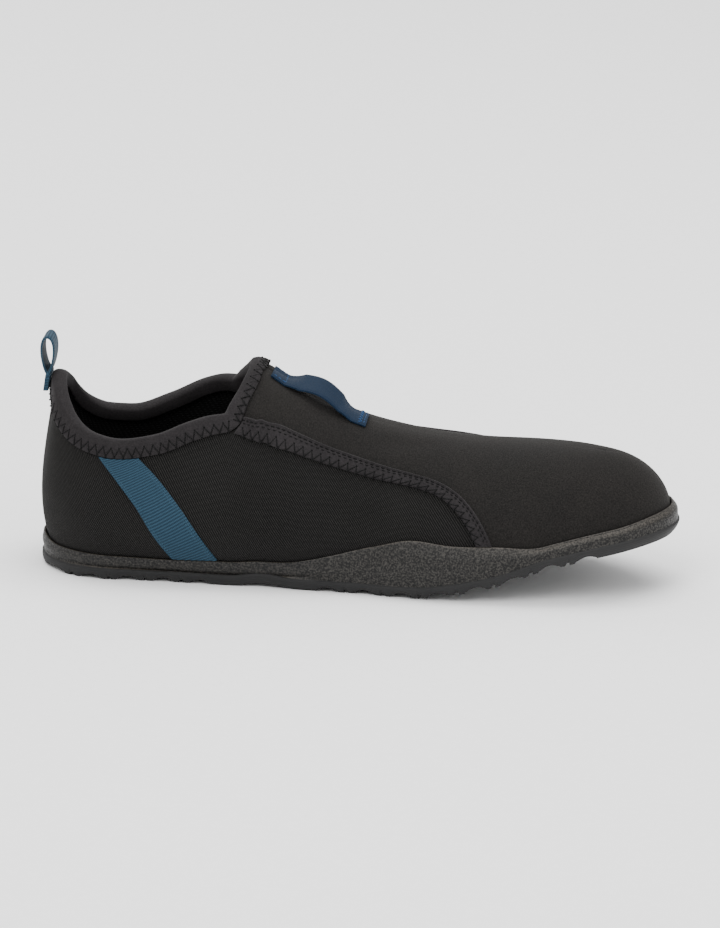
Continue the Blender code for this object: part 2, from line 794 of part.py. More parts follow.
def make_instep_loop(wall, material):
    """Sewn strip over the instep, flat on the wall at both ends and bowed up between them."""
    throat = SECTIONS[THROAT].around
    start = top_line(LATERAL, throat)
    ridge = [top_line(LATERAL, throat + (1.0 - throat) * k / OPENING_STEPS) for k in range(OPENING_STEPS)]
    ahead = next(p for p in ridge if (p - start).length > BINDING_BAND + LABEL_LENGTH)
    way = (ahead - start).normalized()
    begin = BINDING_BAND + CLEARANCE + BINDING_SEAT + BINDING_THICKNESS
    upper_rows = []
    lower_rows = []
    for i in range(LABEL_STEPS + 1):
        share = i / LABEL_STEPS
        free = min(max((share - LABEL_SEWN) / (1.0 - 2.0 * LABEL_SEWN), 0.0), 1.0)
        bow = LABEL_BOW * sin(pi * free) ** LABEL_FULLNESS
        aside = LABEL_START_ASIDE + (LABEL_END_ASIDE - LABEL_START_ASIDE) * share
        centre = wall.lay(start + way * (begin + LABEL_LENGTH * share) - Vector((0.0, aside, 0.0)), 0.0)
        up = wall.normal(centre)
        blend = min(bow / LABEL_BOW * 2.0, 1.0)
        roll = radians(LABEL_ROLL) * blend
        cross = Vector((0.0, cos(roll), 0.0)) + up * sin(roll)
        upper = []
        lower = []
        for j in range(LABEL_ACROSS + 1):
            spot = centre + cross * (LABEL_WIDTH * (j / LABEL_ACROSS - 0.5))
            seat = wall.lay(spot, SEAT)
            top = wall.lay(spot, SEAT + LABEL_THICKNESS)
            flat = spot + up * SEAT
            lower.append(seat.lerp(flat, blend) + up * bow)
            upper.append(top.lerp(flat + up * LABEL_THICKNESS, blend) + up * bow)
        upper_rows.append(upper)
        lower_rows.append(lower)
    return close_sheet(upper_rows, lower_rows, "instep_loop", material)


def make_heel_loop(wall, material):
    """Folded webbing that stands above the collar: a leaf-shaped eye and a sewn tail."""
    edge, normal, down = opening_frame(wall, LATERAL, 0.0)
    over = BINDING_SEAT + BINDING_THICKNESS + SEAT
    tail_top = edge + normal * over
    tail_end = wall.lay(edge + down * (BINDING_BAND - SEAT), over)
    back = Vector((-1.0, 0.0, 0.0)) * (2.0 * LOOP_THICKNESS)
    neck = tail_top + back / 2.0
    half = LOOP_DEPTH / 2.0
    outer = []
    inner = []
    for i in range(LOOP_STEPS + 1):
        share = i / LOOP_STEPS
        angle = 2.0 * pi * share
        height = (1.0 - cos(angle)) / 2.0
        swell = sin(angle) * (LOOP_NECK_FULLNESS + (1.0 - LOOP_NECK_FULLNESS) * height)
        rim = neck + Vector((half * swell, 0.0, LOOP_HEIGHT * height))
        if i == 0:
            rim = tail_top.copy()
        if i == LOOP_STEPS:
            rim = tail_top + back
        eye_height = LOOP_THICKNESS * EYE_BOTTOM
        eye_height += (LOOP_HEIGHT - LOOP_THICKNESS * (EYE_BOTTOM + EYE_TOP)) * height
        eye = neck + Vector(((half - LOOP_THICKNESS) * swell, 0.0, eye_height))
        outer.append(rim)
        inner.append(eye)
    inner = inner[:-1]
    section = outer + inner + [tail_end, tail_end + back]
    eye_start = len(outer)
    end_front = len(outer) + len(inner)
    plates = []
    for i in range(LOOP_STEPS):
        plates.append([i, i + 1, eye_start + (i + 1) % LOOP_STEPS, eye_start + i])
    plates.append([0, eye_start, LOOP_STEPS])
    plates.append([end_front, 0, LOOP_STEPS, end_front + 1])
    borders = [(i, i + 1) for i in range(LOOP_STEPS)]
    borders += [(eye_start + (i + 1) % LOOP_STEPS, eye_start + i) for i in range(LOOP_STEPS)]
    borders += [(LOOP_STEPS, end_front + 1), (end_front + 1, end_front), (end_front, 0)]
    aside = Vector((0.0, LOOP_WIDTH / 2.0, 0.0))
    size = len(section)
    points = [p - aside for p in section] + [p + aside for p in section]
    faces = []
    for plate in plates:
        faces.append(plate)
        faces.append([size + v for v in reversed(plate)])
    for a, b in borders:
        faces.append([b, a, size + a, size + b])
    return make_solid("heel_pull_loop", points, faces, material)


def cut_tread(outsole):
    """Bent grooves across the tread, cut out of the sole's underside."""
    starts = [HEEL_GROOVE_START + LUG_PITCH * k for k in range(HEEL_GROOVES)]
    starts += [FORE_GROOVE_START + LUG_PITCH * k for k in range(FORE_GROOVES)]
    points = []
    faces = []
    size = len(GROOVE_SECTION)
    for middle in starts:
        first = len(points)
        for i in range(GROOVE_STEPS + 1):
            share = i / GROOVE_STEPS
            bend = GROOVE_BEND * cos(2.0 * pi * share)
            y = BALL_WIDTH * GROOVE_REACH * (1.0 - 2.0 * share)
            for across, up in GROOVE_SECTION:
                x = middle + bend + GROOVE_WIDTH * across
                ground = bottom_height(min(max(x, 0.0), LENGTH))
                points.append(Vector((x, y, ground + GROOVE_DEPTH * up)))
        for i in range(GROOVE_STEPS):
            for j in range(size):
                a = first + i * size + j
                b = first + i * size + (j + 1) % size
                faces.append([a, a + size, b + size, b])
        faces.append([first + j for j in range(size)])
        faces.append([first + GROOVE_STEPS * size + j for j in reversed(range(size))])
    mesh = bpy.data.meshes.new("tread_grooves")
    mesh.from_pydata([tuple(p) for p in points], [], faces)
    cutter = bpy.data.objects.new("tread_grooves", mesh)
    cutter.hide_render = True
    cutter.display_type = "WIRE"
    bpy.context.scene.collection.objects.link(cutter)
    cut = outsole.modifiers.new("tread", "BOOLEAN")
    cut.operation = "DIFFERENCE"
    cut.solver = "EXACT"
    cut.object = cutter


def centre_on_ground(solids):
    """Moves every mesh so that the origin is under the middle of the whole shoe."""
    corners = [v.co for solid in solids if not solid.hide_render for v in solid.data.vertices]
    x = (min(c.x for c in corners) + max(c.x for c in corners)) / 2.0
    y = (min(c.y for c in corners) + max(c.y for c in corners)) / 2.0
    z = min(c.z for c in corners)
    for solid in solids:
        solid.data.transform(Matrix.Translation((-x, -y, -z)))


def main():
    for old in list(bpy.data.objects):
        bpy.data.objects.remove(old, do_unlink=True)
    rubber = make_material("rubber", (0.055, 0.053, 0.053), 0.72)
    knit = make_material("knit", (0.030, 0.027, 0.025), 0.85)
    lining = make_material("lining", (0.020, 0.020, 0.021), 0.90)
    edging = make_material("edging", (0.052, 0.045, 0.047), 0.70)
    webbing = make_material("webbing", (0.016, 0.078, 0.150), 0.65)
    twill = make_material("twill", (0.018, 0.045, 0.085), 0.60)
    cut_tread(make_outsole(rubber))
    make_insole(lining)
    wall = Wall()
    make_upper(wall, knit)
    make_bindings(wall, edging)
    for side, sided, tape, strap in (
        (MEDIAL, "medial", MEDIAL_TAPE, MEDIAL_STRAP),
        (LATERAL, "lateral", LATERAL_TAPE, LATERAL_STRAP),
    ):
        tape_name = "vamp_tape_" + sided
        strap_name = "heel_strap_" + sided
        make_band(tape_name, wall, side, tape, place_at, TAPE_SEAT, TAPE_THICKNESS, 30, 2, edging)
        make_band(strap_name, wall, side, strap, place_between, SEAT, STRAP_THICKNESS, 12, 4, webbing)
    make_instep_loop(wall, twill)
    make_heel_loop(wall, webbing)
    centre_on_ground(list(bpy.context.scene.collection.objects))


main()
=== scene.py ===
"""Looks of the left water shoe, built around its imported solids.

Every cloth and rubber piece is made again as a fine mesh from the same sizes and tables as the
solids, so each one lies where its solid is. The shoe is worked out with its heel at x = 0 and
then moved by SHIFT into the frame. "around" runs from 0 at the middle of the heel to 1 at the
middle of the toe along either side, and "rise" from 0 at the sole to 1 at the top line.
"""

import json
from collections import namedtuple
from math import cos, pi, radians, sin

import bpy
import numpy as np
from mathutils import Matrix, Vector
from mathutils.bvhtree import BVHTree

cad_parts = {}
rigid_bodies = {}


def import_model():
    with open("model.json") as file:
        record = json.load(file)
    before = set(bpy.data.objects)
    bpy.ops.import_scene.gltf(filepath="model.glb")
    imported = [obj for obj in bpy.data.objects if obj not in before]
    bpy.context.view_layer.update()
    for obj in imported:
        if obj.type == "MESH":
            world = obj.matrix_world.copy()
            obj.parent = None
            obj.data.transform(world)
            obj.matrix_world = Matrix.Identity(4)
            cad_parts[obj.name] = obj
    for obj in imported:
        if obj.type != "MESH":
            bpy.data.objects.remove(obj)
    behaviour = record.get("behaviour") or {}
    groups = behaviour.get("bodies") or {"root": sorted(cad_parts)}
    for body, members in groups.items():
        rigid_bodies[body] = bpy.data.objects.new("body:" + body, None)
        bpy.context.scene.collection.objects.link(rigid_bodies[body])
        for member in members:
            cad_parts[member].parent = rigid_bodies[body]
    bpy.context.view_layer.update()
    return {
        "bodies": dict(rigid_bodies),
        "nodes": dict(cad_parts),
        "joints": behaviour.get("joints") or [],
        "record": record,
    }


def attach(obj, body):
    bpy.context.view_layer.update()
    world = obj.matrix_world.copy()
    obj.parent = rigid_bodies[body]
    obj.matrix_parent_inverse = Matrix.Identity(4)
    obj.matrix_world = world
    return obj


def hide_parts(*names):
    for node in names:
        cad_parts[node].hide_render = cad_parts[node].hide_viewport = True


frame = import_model()

SHIFT = Vector((-0.135, -0.000129, 0.0))

# Whole shoe, in metres
LENGTH = 0.270
BALL_WIDTH = 0.105
INSTEP_HEIGHT = 0.088

# Lasted edge, where the upper meets the sole
HEEL_ROUND = 0.031
TOE_ROUND = 0.058

# Wall, sole and insole
WALL = 0.0025
SOLE_THICKNESS = 0.0070
TOE_SPRING = 0.024
RIM_HEIGHT = 0.025
RIM_THICKNESS = 0.0012
SIDE_THICKNESS = 0.0030
SIDE_STEP = 0.0006
STEP_HEIGHT = 0.0045
EDGE_TUCK = 0.0020
INSOLE_THICKNESS = 0.0030
INSOLE_MARGIN = 0.0012
CLEARANCE = 0.0004
LASTED_SET_IN = CLEARANCE + SIDE_THICKNESS + SIDE_STEP

# Tread: round-topped grooves across the heel and the forefoot, with lugs between them
LUG_PITCH = 0.0153
GROOVE_WIDTH = 0.0094
GROOVE_DEPTH = 0.0020
GROOVE_BEND = 0.0030
HEEL_GROOVE_START = 0.0100
HEEL_GROOVES = 5
FORE_GROOVE_START = 0.1245
FORE_GROOVES = 8
GROOVE_REACH = 0.65
SLOT_WIDTH = 0.0016
SLOT_DEPTH = 0.0014

# Bindings round the opening, tapes along the vamp, heel straps and loops
SEAT = 0.0003
BINDING_SEAT = 0.0007
TAPE_SEAT = 0.0005
BINDING_THICKNESS = 0.0008
BINDING_BAND = 0.0070
BINDING_LINING = 0.0045
TAPE_THICKNESS = 0.0008
STRAP_THICKNESS = 0.0009
LABEL_THICKNESS = 0.0012
LABEL_LENGTH = 0.0445
LABEL_WIDTH = 0.0140
LABEL_BOW = 0.0048
LABEL_FULLNESS = 1.4
LABEL_SEWN = 0.14
LABEL_START_ASIDE = 0.0010
LABEL_END_ASIDE = 0.0040
LABEL_ROLL = 15.0
LOOP_WIDTH = 0.0130
LOOP_HEIGHT = 0.0170
LOOP_DEPTH = 0.0078
LOOP_THICKNESS = 0.0011
LOOP_NECK_FULLNESS = 0.55
EYE_BOTTOM = 1.6
EYE_TOP = 1.0

# Points along the opening, the short shares of the way and of the rise over which slopes are
# read, and how often a height on the wall is halved
OPENING_STEPS = 60
WAY_STEP = 0.002
SLOPE_STEP = 0.004
HALVINGS = 24

LATERAL = 1.0
MEDIAL = -1.0
SIDES = (LATERAL, MEDIAL)

# Lasted edge and top line of the upper. Widths are shares of the ball width, the top line's
# places shares of the length, and its heights shares of the instep height.
Section = namedtuple("Section", (
    "around centre base_lateral base_medial top_along top_centre top_half"
    " height_lateral height_medial"
))
SECTIONS = [Section(*row) for row in (
    (0.000, 0.036, 0.285, 0.285, 0.024, 0.036, 0.255, 0.915, 0.915),
    (0.045, 0.036, 0.285, 0.285, 0.031, 0.030, 0.250, 0.869, 0.869),
    (0.100, 0.035, 0.286, 0.285, 0.062, 0.020, 0.246, 0.744, 0.744),
    (0.135, 0.034, 0.288, 0.286, 0.096, 0.014, 0.252, 0.693, 0.690),
    (0.170, 0.032, 0.290, 0.288, 0.134, 0.016, 0.270, 0.682, 0.672),
    (0.220, 0.026, 0.298, 0.294, 0.192, 0.026, 0.284, 0.736, 0.698),
    (0.265, 0.018, 0.308, 0.302, 0.246, 0.036, 0.272, 0.812, 0.760),
    (0.290, 0.014, 0.318, 0.307, 0.276, 0.035, 0.254, 0.840, 0.786),
    (0.312, 0.011, 0.328, 0.311, 0.300, 0.030, 0.225, 0.850, 0.794),
    (0.326, 0.010, 0.335, 0.314, 0.310, 0.026, 0.180, 0.894, 0.846),
    (0.342, 0.008, 0.343, 0.316, 0.322, 0.023, 0.122, 0.940, 0.906),
    (0.358, 0.005, 0.354, 0.320, 0.332, 0.020, 0.062, 0.982, 0.968),
    (0.375, 0.002, 0.366, 0.324, 0.335, 0.018, 0.000, 1.000, 1.000),
    (0.430, -0.010, 0.424, 0.336, 0.384, 0.012, 0.000, 0.909, 0.909),
    (0.490, -0.022, 0.472, 0.350, 0.456, -0.008, 0.000, 0.800, 0.800),
    (0.550, -0.040, 0.503, 0.379, 0.540, -0.030, 0.000, 0.727, 0.727),
    (0.610, -0.060, 0.524, 0.394, 0.620, -0.050, 0.000, 0.686, 0.686),
    (0.680, -0.080, 0.515, 0.384, 0.706, -0.074, 0.000, 0.667, 0.667),
    (0.740, -0.100, 0.486, 0.362, 0.770, -0.094, 0.000, 0.668, 0.668),
    (0.800, -0.115, 0.455, 0.360, 0.818, -0.110, 0.000, 0.666, 0.666),
    (0.860, -0.124, 0.420, 0.364, 0.850, -0.122, 0.000, 0.661, 0.661),
    (0.930, -0.128, 0.390, 0.368, 0.872, -0.128, 0.000, 0.655, 0.655),
    (1.000, -0.130, 0.378, 0.378, 0.880, -0.130, 0.000, 0.650, 0.650),
)]
THROAT = 12

# How the wall swells between its lasted edge and its top line. Outward pulls are shares of the
# ball width, upward pulls shares of the wall's rise, and the reach is a share of the way out.
Swell = namedtuple("Swell", "around low_lateral low_medial low_up high_reach high_out high_down")
SWELLS = [Swell(*row) for row in (
    (0.000, 0.080, 0.080, 0.300, 0.00, 0.035, 0.36),
    (0.100, 0.125, 0.105, 0.300, 0.00, 0.045, 0.38),
    (0.170, 0.135, 0.140, 0.320, 0.00, 0.070, 0.40),
    (0.265, 0.165, 0.195, 0.300, 0.20, 0.060, 0.38),
    (0.305, 0.185, 0.210, 0.290, 0.50, 0.030, 0.26),
    (0.340, 0.190, 0.220, 0.280, 0.62, 0.000, 0.12),
    (0.375, 0.170, 0.215, 0.280, 0.62, 0.000, 0.00),
    (0.430, 0.060, 0.150, 0.300, 0.60, 0.000, 0.00),
    (0.490, -0.010, 0.075, 0.330, 0.58, 0.000, 0.00),
    (0.550, -0.055, 0.060, 0.360, 0.58, 0.000, 0.00),
    (0.610, -0.060, 0.045, 0.400, 0.58, 0.000, 0.00),
    (0.680, -0.040, 0.020, 0.420, 0.60, 0.000, 0.00),
    (0.800, 0.000, 0.010, 0.440, 0.60, 0.000, 0.00),
    (1.000, 0.015, 0.015, 0.460, 0.60, 0.000, 0.00),
)]

# Sole from the side. The bottom and the bed are shares of the toe spring, the rims shares of
# the rim height, and "along" is a share of the length.
Profile = namedtuple("Profile", "along bottom bed rim_lateral rim_medial tuck")
PROFILES = [Profile(*row) for row in (
    (0.00, 0.02, 0.04, 0.56, 0.56, 0.10),
    (0.04, 0.00, 0.00, 0.46, 0.46, 0.20),
    (0.20, 0.00, 0.00, 0.43, 0.43, 1.00),
    (0.31, 0.00, 0.00, 0.46, 0.46, 1.00),
    (0.36, 0.07, 0.02, 0.44, 0.42, 1.00),
    (0.42, 0.00, 0.02, 0.54, 0.52, 1.00),
    (0.48, 0.00, 0.00, 0.64, 0.66, 1.00),
    (0.54, 0.00, 0.00, 0.78, 0.82, 1.00),
    (0.60, 0.02, 0.02, 0.92, 0.95, 1.00),
    (0.66, 0.12, 0.13, 0.92, 0.81, 1.00),
    (0.73, 0.31, 0.32, 0.66, 0.64, 1.00),
    (0.80, 0.60, 0.60, 0.42, 0.40, 1.00),
    (0.90, 0.86, 0.86, 0.40, 0.40, 1.00),
    (1.00, 1.00, 1.00, 0.46, 0.46, 1.00),
)]

# The tapes lie between two edges: front around, front rise, back around, back rise. They start at
# the binding and end at the sole's rim.
MEDIAL_TAPE = [
    (0.342, 0.780, 0.325, 0.782),
    (0.354, 0.702, 0.344, 0.662),
    (0.365, 0.652, 0.355, 0.603),
    (0.381, 0.628, 0.368, 0.558),
    (0.404, 0.634, 0.391, 0.539),
    (0.430, 0.632, 0.416, 0.541),
    (0.460, 0.625, 0.445, 0.538),
    (0.490, 0.625, 0.472, 0.537),
    (0.517, 0.622, 0.498, 0.537),
    (0.545, 0.613, 0.525, 0.536),
    (0.572, 0.602, 0.551, 0.535),
    (0.600, 0.576, 0.578, 0.524),
    (0.625, 0.508, 0.603, 0.482),
    (0.644, 0.405, 0.622, 0.398),
    (0.657, 0.288, 0.636, 0.295),
    (0.666, 0.170, 0.645, 0.186),
]
LATERAL_TAPE = [
    (0.338, 0.788, 0.328, 0.755),
    (0.350, 0.724, 0.342, 0.695),
    (0.362, 0.676, 0.354, 0.648),
    (0.382, 0.650, 0.370, 0.608),
    (0.409, 0.654, 0.394, 0.604),
    (0.440, 0.668, 0.424, 0.606),
    (0.473, 0.685, 0.455, 0.608),
    (0.503, 0.700, 0.484, 0.611),
    (0.533, 0.716, 0.512, 0.615),
    (0.565, 0.734, 0.540, 0.625),
    (0.597, 0.747, 0.568, 0.640),
    (0.628, 0.741, 0.597, 0.655),
    (0.656, 0.690, 0.622, 0.640),
    (0.677, 0.580, 0.644, 0.558),
    (0.689, 0.420, 0.659, 0.425),
    (0.695, 0.270, 0.668, 0.288),
    (0.698, 0.126, 0.672, 0.172),
]

# The straps lie between two edges, given in the same way, with shares of the way from the sole's
# rim to the binding in place of rises.
MEDIAL_STRAP = [
    (0.200, 1.00, 0.144, 1.00),
    (0.226, 0.80, 0.168, 0.82),
    (0.252, 0.54, 0.193, 0.58),
    (0.276, 0.26, 0.214, 0.28),
    (0.297, 0.00, 0.235, 0.00),
]
LATERAL_STRAP = [
    (0.216, 1.00, 0.160, 1.00),
    (0.242, 0.79, 0.186, 0.81),
    (0.266, 0.54, 0.211, 0.57),
    (0.289, 0.26, 0.232, 0.28),
    (0.308, 0.00, 0.252, 0.00),
]
# Share of the way around at which the two bindings meet
CORNER = 15.0 / 48.0


def read_table(rows, column, at):
    """A column's value between its rows, on a smooth curve that never overshoots them."""
    places = [row[0] for row in rows]
    values = [getattr(row, column) for row in rows]
    last = len(rows) - 1
    if at <= places[0]:
        return values[0]
    if at >= places[last]:
        return values[last]
    k = max(i for i in range(last) if places[i] <= at)

    def slope(i):
        return (values[i + 1] - values[i]) / (places[i + 1] - places[i])

    def tangent(i):
        if i in (0, last) or slope(i - 1) * slope(i) <= 0.0:
            return 0.0
        return 2.0 * slope(i - 1) * slope(i) / (slope(i - 1) + slope(i))

    span = places[k + 1] - places[k]
    t = (at - places[k]) / span
    rise = values[k + 1] - values[k]
    a = tangent(k) * span - rise
    b = rise - tangent(k + 1) * span
    return values[k] + rise * t + t * (1.0 - t) * (a * (1.0 - t) + b * t)


def turn_shares():
    """Shares of the way around at which the heel's round ends and the toe's round starts."""
    base_length = LENGTH - 2.0 * LASTED_SET_IN
    heel_arc = HEEL_ROUND * pi / 2.0
    toe_arc = TOE_ROUND * pi / 2.0
    way = heel_arc + toe_arc + base_length - HEEL_ROUND - TOE_ROUND
    return heel_arc / way, 1.0 - toe_arc / way


def station(around):
    """X of the lasted edge, and how full its width is there: 0 at the ends and 1 between."""
    heel_end, toe_start = turn_shares()
    toe_x = LENGTH - LASTED_SET_IN
    if around < heel_end:
        angle = pi / 2.0 * around / heel_end
        return LASTED_SET_IN + HEEL_ROUND * (1.0 - cos(angle)), sin(angle)
    if around > toe_start:
        angle = pi / 2.0 * (around - toe_start) / (1.0 - toe_start)
        return toe_x - TOE_ROUND * (1.0 - sin(angle)), cos(angle)
    share = (around - heel_end) / (toe_start - heel_end)
    start = LASTED_SET_IN + HEEL_ROUND
    return start + share * (toe_x - TOE_ROUND - start), 1.0


def side_column(name, side):
    return name + ("_lateral" if side > 0.0 else "_medial")


def bottom_height(x):
    return TOE_SPRING * read_table(PROFILES, "bottom", x / LENGTH)


def bed_height(x):
    return SOLE_THICKNESS + TOE_SPRING * read_table(PROFILES, "bed", x / LENGTH)


def rim_height(side, x):
    share = read_table(PROFILES, side_column("rim", side), x / LENGTH)
    return bottom_height(x) + RIM_HEIGHT * share


def lasted_edge(side, around):
    """Point of the upper's outer face where it meets the sole's bed."""
    x, fullness = station(around)
    width = BALL_WIDTH * read_table(SECTIONS, side_column("base", side), around) * fullness
    centre = BALL_WIDTH * read_table(SECTIONS, "centre", around)
    return Vector((x, centre + side * width, bed_height(x)))


def outward(side, around):
    """Direction straight out of the lasted edge, in plan."""
    if around <= 0.0:
        return Vector((-1.0, 0.0, 0.0))
    if around >= 1.0:
        return Vector((1.0, 0.0, 0.0))
    ahead = lasted_edge(side, min(around + WAY_STEP, 1.0))
    run = ahead - lasted_edge(side, max(around - WAY_STEP, 0.0))
    return Vector((-side * run.y, side * run.x, 0.0)).normalized()


def top_line(side, around):
    """Point of the collar, of the throat's edge or of the instep's ridge."""
    heel_end, _ = turn_shares()
    fullness = sin(pi / 2.0 * min(around / heel_end, 1.0))
    x = LENGTH * read_table(SECTIONS, "top_along", around)
    half = BALL_WIDTH * read_table(SECTIONS, "top_half", around) * fullness
    centre = BALL_WIDTH * read_table(SECTIONS, "top_centre", around)
    height = INSTEP_HEIGHT * read_table(SECTIONS, side_column("height", side), around)
    return Vector((x, centre + side * half, height))


def wall_line(side, around):
    """The four pulls of the curve that the wall follows from the sole to the top line."""
    foot = lasted_edge(side, around)
    top = top_line(side, around)
    out = outward(side, around)
    up = Vector((0.0, 0.0, top.z - foot.z))
    low_out = BALL_WIDTH * read_table(SWELLS, side_column("low", side), around)
    low = foot + out * low_out + up * read_table(SWELLS, "low_up", around)
    way_out = Vector((foot.x - top.x, foot.y - top.y, 0.0))
    high = top + way_out * read_table(SWELLS, "high_reach", around)
    high += out * BALL_WIDTH * read_table(SWELLS, "high_out", around)
    high -= up * read_table(SWELLS, "high_down", around)
    return foot, low, high, top


def on_line(line, rise):
    foot, low, high, top = line
    fall = 1.0 - rise
    return (
        foot * fall ** 3
        + low * 3.0 * rise * fall ** 2
        + high * 3.0 * rise ** 2 * fall
        + top * rise ** 3
    )


def wall_point(side, around, rise):
    """Point of the upper's outer face."""
    return on_line(wall_line(side, around), rise)


def wall_normal(side, around, rise):
    """Direction straight out of the upper's outer face."""
    ahead = wall_point(side, min(around + SLOPE_STEP, 1.0), rise)
    behind = wall_point(side, max(around - SLOPE_STEP, 0.0), rise)
    line = wall_line(side, around)
    climb = on_line(line, min(rise + SLOPE_STEP, 1.0)) - on_line(line, max(rise - SLOPE_STEP, 0.0))
    return (climb.cross(ahead - behind) * side).normalized()


def rise_at(side, around, height):
    """How far up the wall a height is reached."""
    line = wall_line(side, around)
    low, high = 0.0, 1.0
    for _ in range(HALVINGS):
        middle = (low + high) / 2.0
        if on_line(line, middle).z < height:
            low = middle
        else:
            high = middle
    return (low + high) / 2.0


def curve_through(points, share):
    """Point on a smooth curve through a list of points."""
    spans = len(points) - 1
    k = min(int(share * spans), spans - 1)
    t = share * spans - k
    before = points[k - 1] if k > 0 else points[0] * 2.0 - points[1]
    after = points[k + 2] if k + 2 <= spans else points[spans] * 2.0 - points[spans - 1]
    a, b = points[k], points[k + 1]
    return (
        a
        + (b - before) * (t / 2.0)
        + (before * 2.0 - a * 5.0 + b * 4.0 - after) * (t * t / 2.0)
        + (a * 3.0 - before - b * 3.0 + after) * (t * t * t / 2.0)
    )


def opening_edge():
    """Points all round the edge of the opening."""
    places = [SECTIONS[THROAT].around * k / OPENING_STEPS for k in range(OPENING_STEPS + 1)]
    return [top_line(side, place) for side in SIDES for place in places]


def binding_foot(side, around):
    """How far up the wall a piece can reach before it meets the bindings."""
    line = wall_line(side, around)
    opening = opening_edge()
    rise = 1.0
    while rise > 0.0:
        point = on_line(line, rise)
        if min((point - edge).length for edge in opening) > BINDING_BAND + CLEARANCE:
            return rise
        rise -= SLOPE_STEP
    return rise


# Fineness of the visible meshes, and how far their undersides stand off the wall
AROUND_CELLS = 240
RISE_CELLS = 72
SOLE_CELLS = 800
SOLE_ACROSS = 22
RIM_CELLS = 8
FOOT_STEPS = 96
UNDER_LIFT = 0.00005

# Webbing: rib pitch and depth, and how far the straps' ribs climb for a step across
RIB_PITCH = 0.0012
RIB_DEPTH = 0.00016
RIB_SLANT = 0.45
# How far the heel loop's woven edge stands out, from its rim inwards
LOOP_SELVAGE = (-0.00025, 0.00002, 0.00002)
STRAP_WIDTH = 0.0175

# Stitches: length, pitch, thread radius and how proud they stand, for tapes, straps and label.
# The rows of the tapes and straps are places across, each with its first length.
LOCK_STITCH = (0.0016, 0.0024, 0.00028, 0.00006)
CHAIN_STITCH = (0.0008, 0.0012, 0.00016, 0.00003)
BOX_STITCH = (0.001512, 0.0021, 0.00018, 0.00008)
TAPE_ROWS = [(0.20, 0.0), (0.36, 0.0012)]
STRAP_ROWS = [(1, 0.0006), (2, 0.0), (-3, 0.0), (-2, 0.0006)]
# The label's box of stitches and the bar beyond it, in shares of its width and length
BOX_ROWS = (0.10, 0.90)
BOX_ENDS = (LABEL_SEWN + 0.01, 0.975)
BAR_LINES = (0.915, 0.955)
BAR_STEP = 0.0011
# Zigzags: thread radius, then for each the two lines that it runs between and its step
ZIGZAG_RADIUS = 0.00027
TAPE_ZIGZAG = (0.60, 1.03, 0.0020)
OUTER_ZIGZAG = (0.0030, 0.0068, 0.0019)
INNER_ZIGZAG = (0.0018, 0.0043, 0.0019)
# Ridge and groove along a tape: place across, width and height
TAPE_ROLL = (0.07, 0.06, 0.00035)
TAPE_GROOVE = (0.20, 0.035, -0.00022)
# Angles from which edges are drawn sharp
SHEET_SHARP = 0.9
BINDING_SHARP = 1.1
SOLE_SHARP = 0.75
# Length over which the binding's direction is evened where its edge bends
FRAME_REACH = 0.0060

# The photograph's view, the frame's width at the shoe, and the floor
CAMERA_ELEVATION = 15.0
CAMERA_TURN = 5.5
CAMERA_DISTANCE = 3.0
CAMERA_TARGET = Vector((0.0, 0.0, 0.045))
FRAME_WIDTH = 0.302
SENSOR_WIDTH = 36.0
FLOOR_REACH = 9.0
FLOOR_CELLS = 6
WORLD_LIGHT = 0.95
# Each lamp's name, place, size and power
LAMPS = [
    ("key", (-0.5, -1.5, 1.7), 1.3, 39.0),
    ("top", (0.3, 0.3, 1.9), 1.6, 40.0),
    ("fill", (1.5, -1.1, 0.8), 1.2, 10.0),
    ("back", (-0.8, 1.3, 1.1), 1.0, 10.0),
]

# Soft folds pressed into the upper: half length, half width and depth in metres, and the turn in
# degrees from level.
Crease = namedtuple("Crease", "side around rise length width depth turn")
CREASES = [Crease(*row) for row in (
    (MEDIAL, 0.345, 0.70, 0.020, 0.0065, 0.0009, -38.0),
    (MEDIAL, 0.400, 0.46, 0.026, 0.0080, 0.0007, -20.0),
    (MEDIAL, 0.470, 0.34, 0.022, 0.0070, 0.0005, -12.0),
    (MEDIAL, 0.215, 0.55, 0.016, 0.0060, 0.0004, 50.0),
    (MEDIAL, 0.290, 0.40, 0.024, 0.0075, 0.0006, -30.0),
    (LATERAL, 0.345, 0.72, 0.020, 0.0065, 0.0009, -38.0),
    (LATERAL, 0.400, 0.50, 0.026, 0.0080, 0.0007, -22.0),
    (LATERAL, 0.480, 0.36, 0.022, 0.0070, 0.0005, -12.0),
    (LATERAL, 0.230, 0.50, 0.018, 0.0060, 0.0005, 48.0),
    (LATERAL, 0.300, 0.36, 0.022, 0.0070, 0.0006, -28.0),
    (MEDIAL, 0.560, 0.78, 0.018, 0.0055, 0.0003, 8.0),
    (LATERAL, 0.570, 0.80, 0.018, 0.0055, 0.0003, 8.0),
)]

scene = bpy.context.scene


def measured(points):
    """Running length along a row of points."""
    run = [0.0]
    for a, b in zip(points, points[1:]):
        run.append(run[-1] + (b - a).length)
    return run


def at_length(run, length):
    """Share of the way along a measured row at which a length is reached."""
    return float(np.interp(length, run, np.linspace(0.0, 1.0, len(run))))


def cell(i, j):
    """Corners of one cell of a net, as row and column."""
    return [(i, j), (i + 1, j), (i + 1, j + 1), (i, j + 1)]


def other_way(corners):
    """The same corners in the other direction, from the same first one."""
    return [corners[0], *corners[:0:-1]]


def grid_faces(rows, columns, start=0, closed=False):
    """Quads of a net of points, and the row and column of each corner."""
    across = range(columns if closed else columns - 1)
    sites = [cell(i, j) for i in range(rows - 1) for j in across]
    return [[start + r * columns + c % columns for r, c in corners] for corners in sites], sites


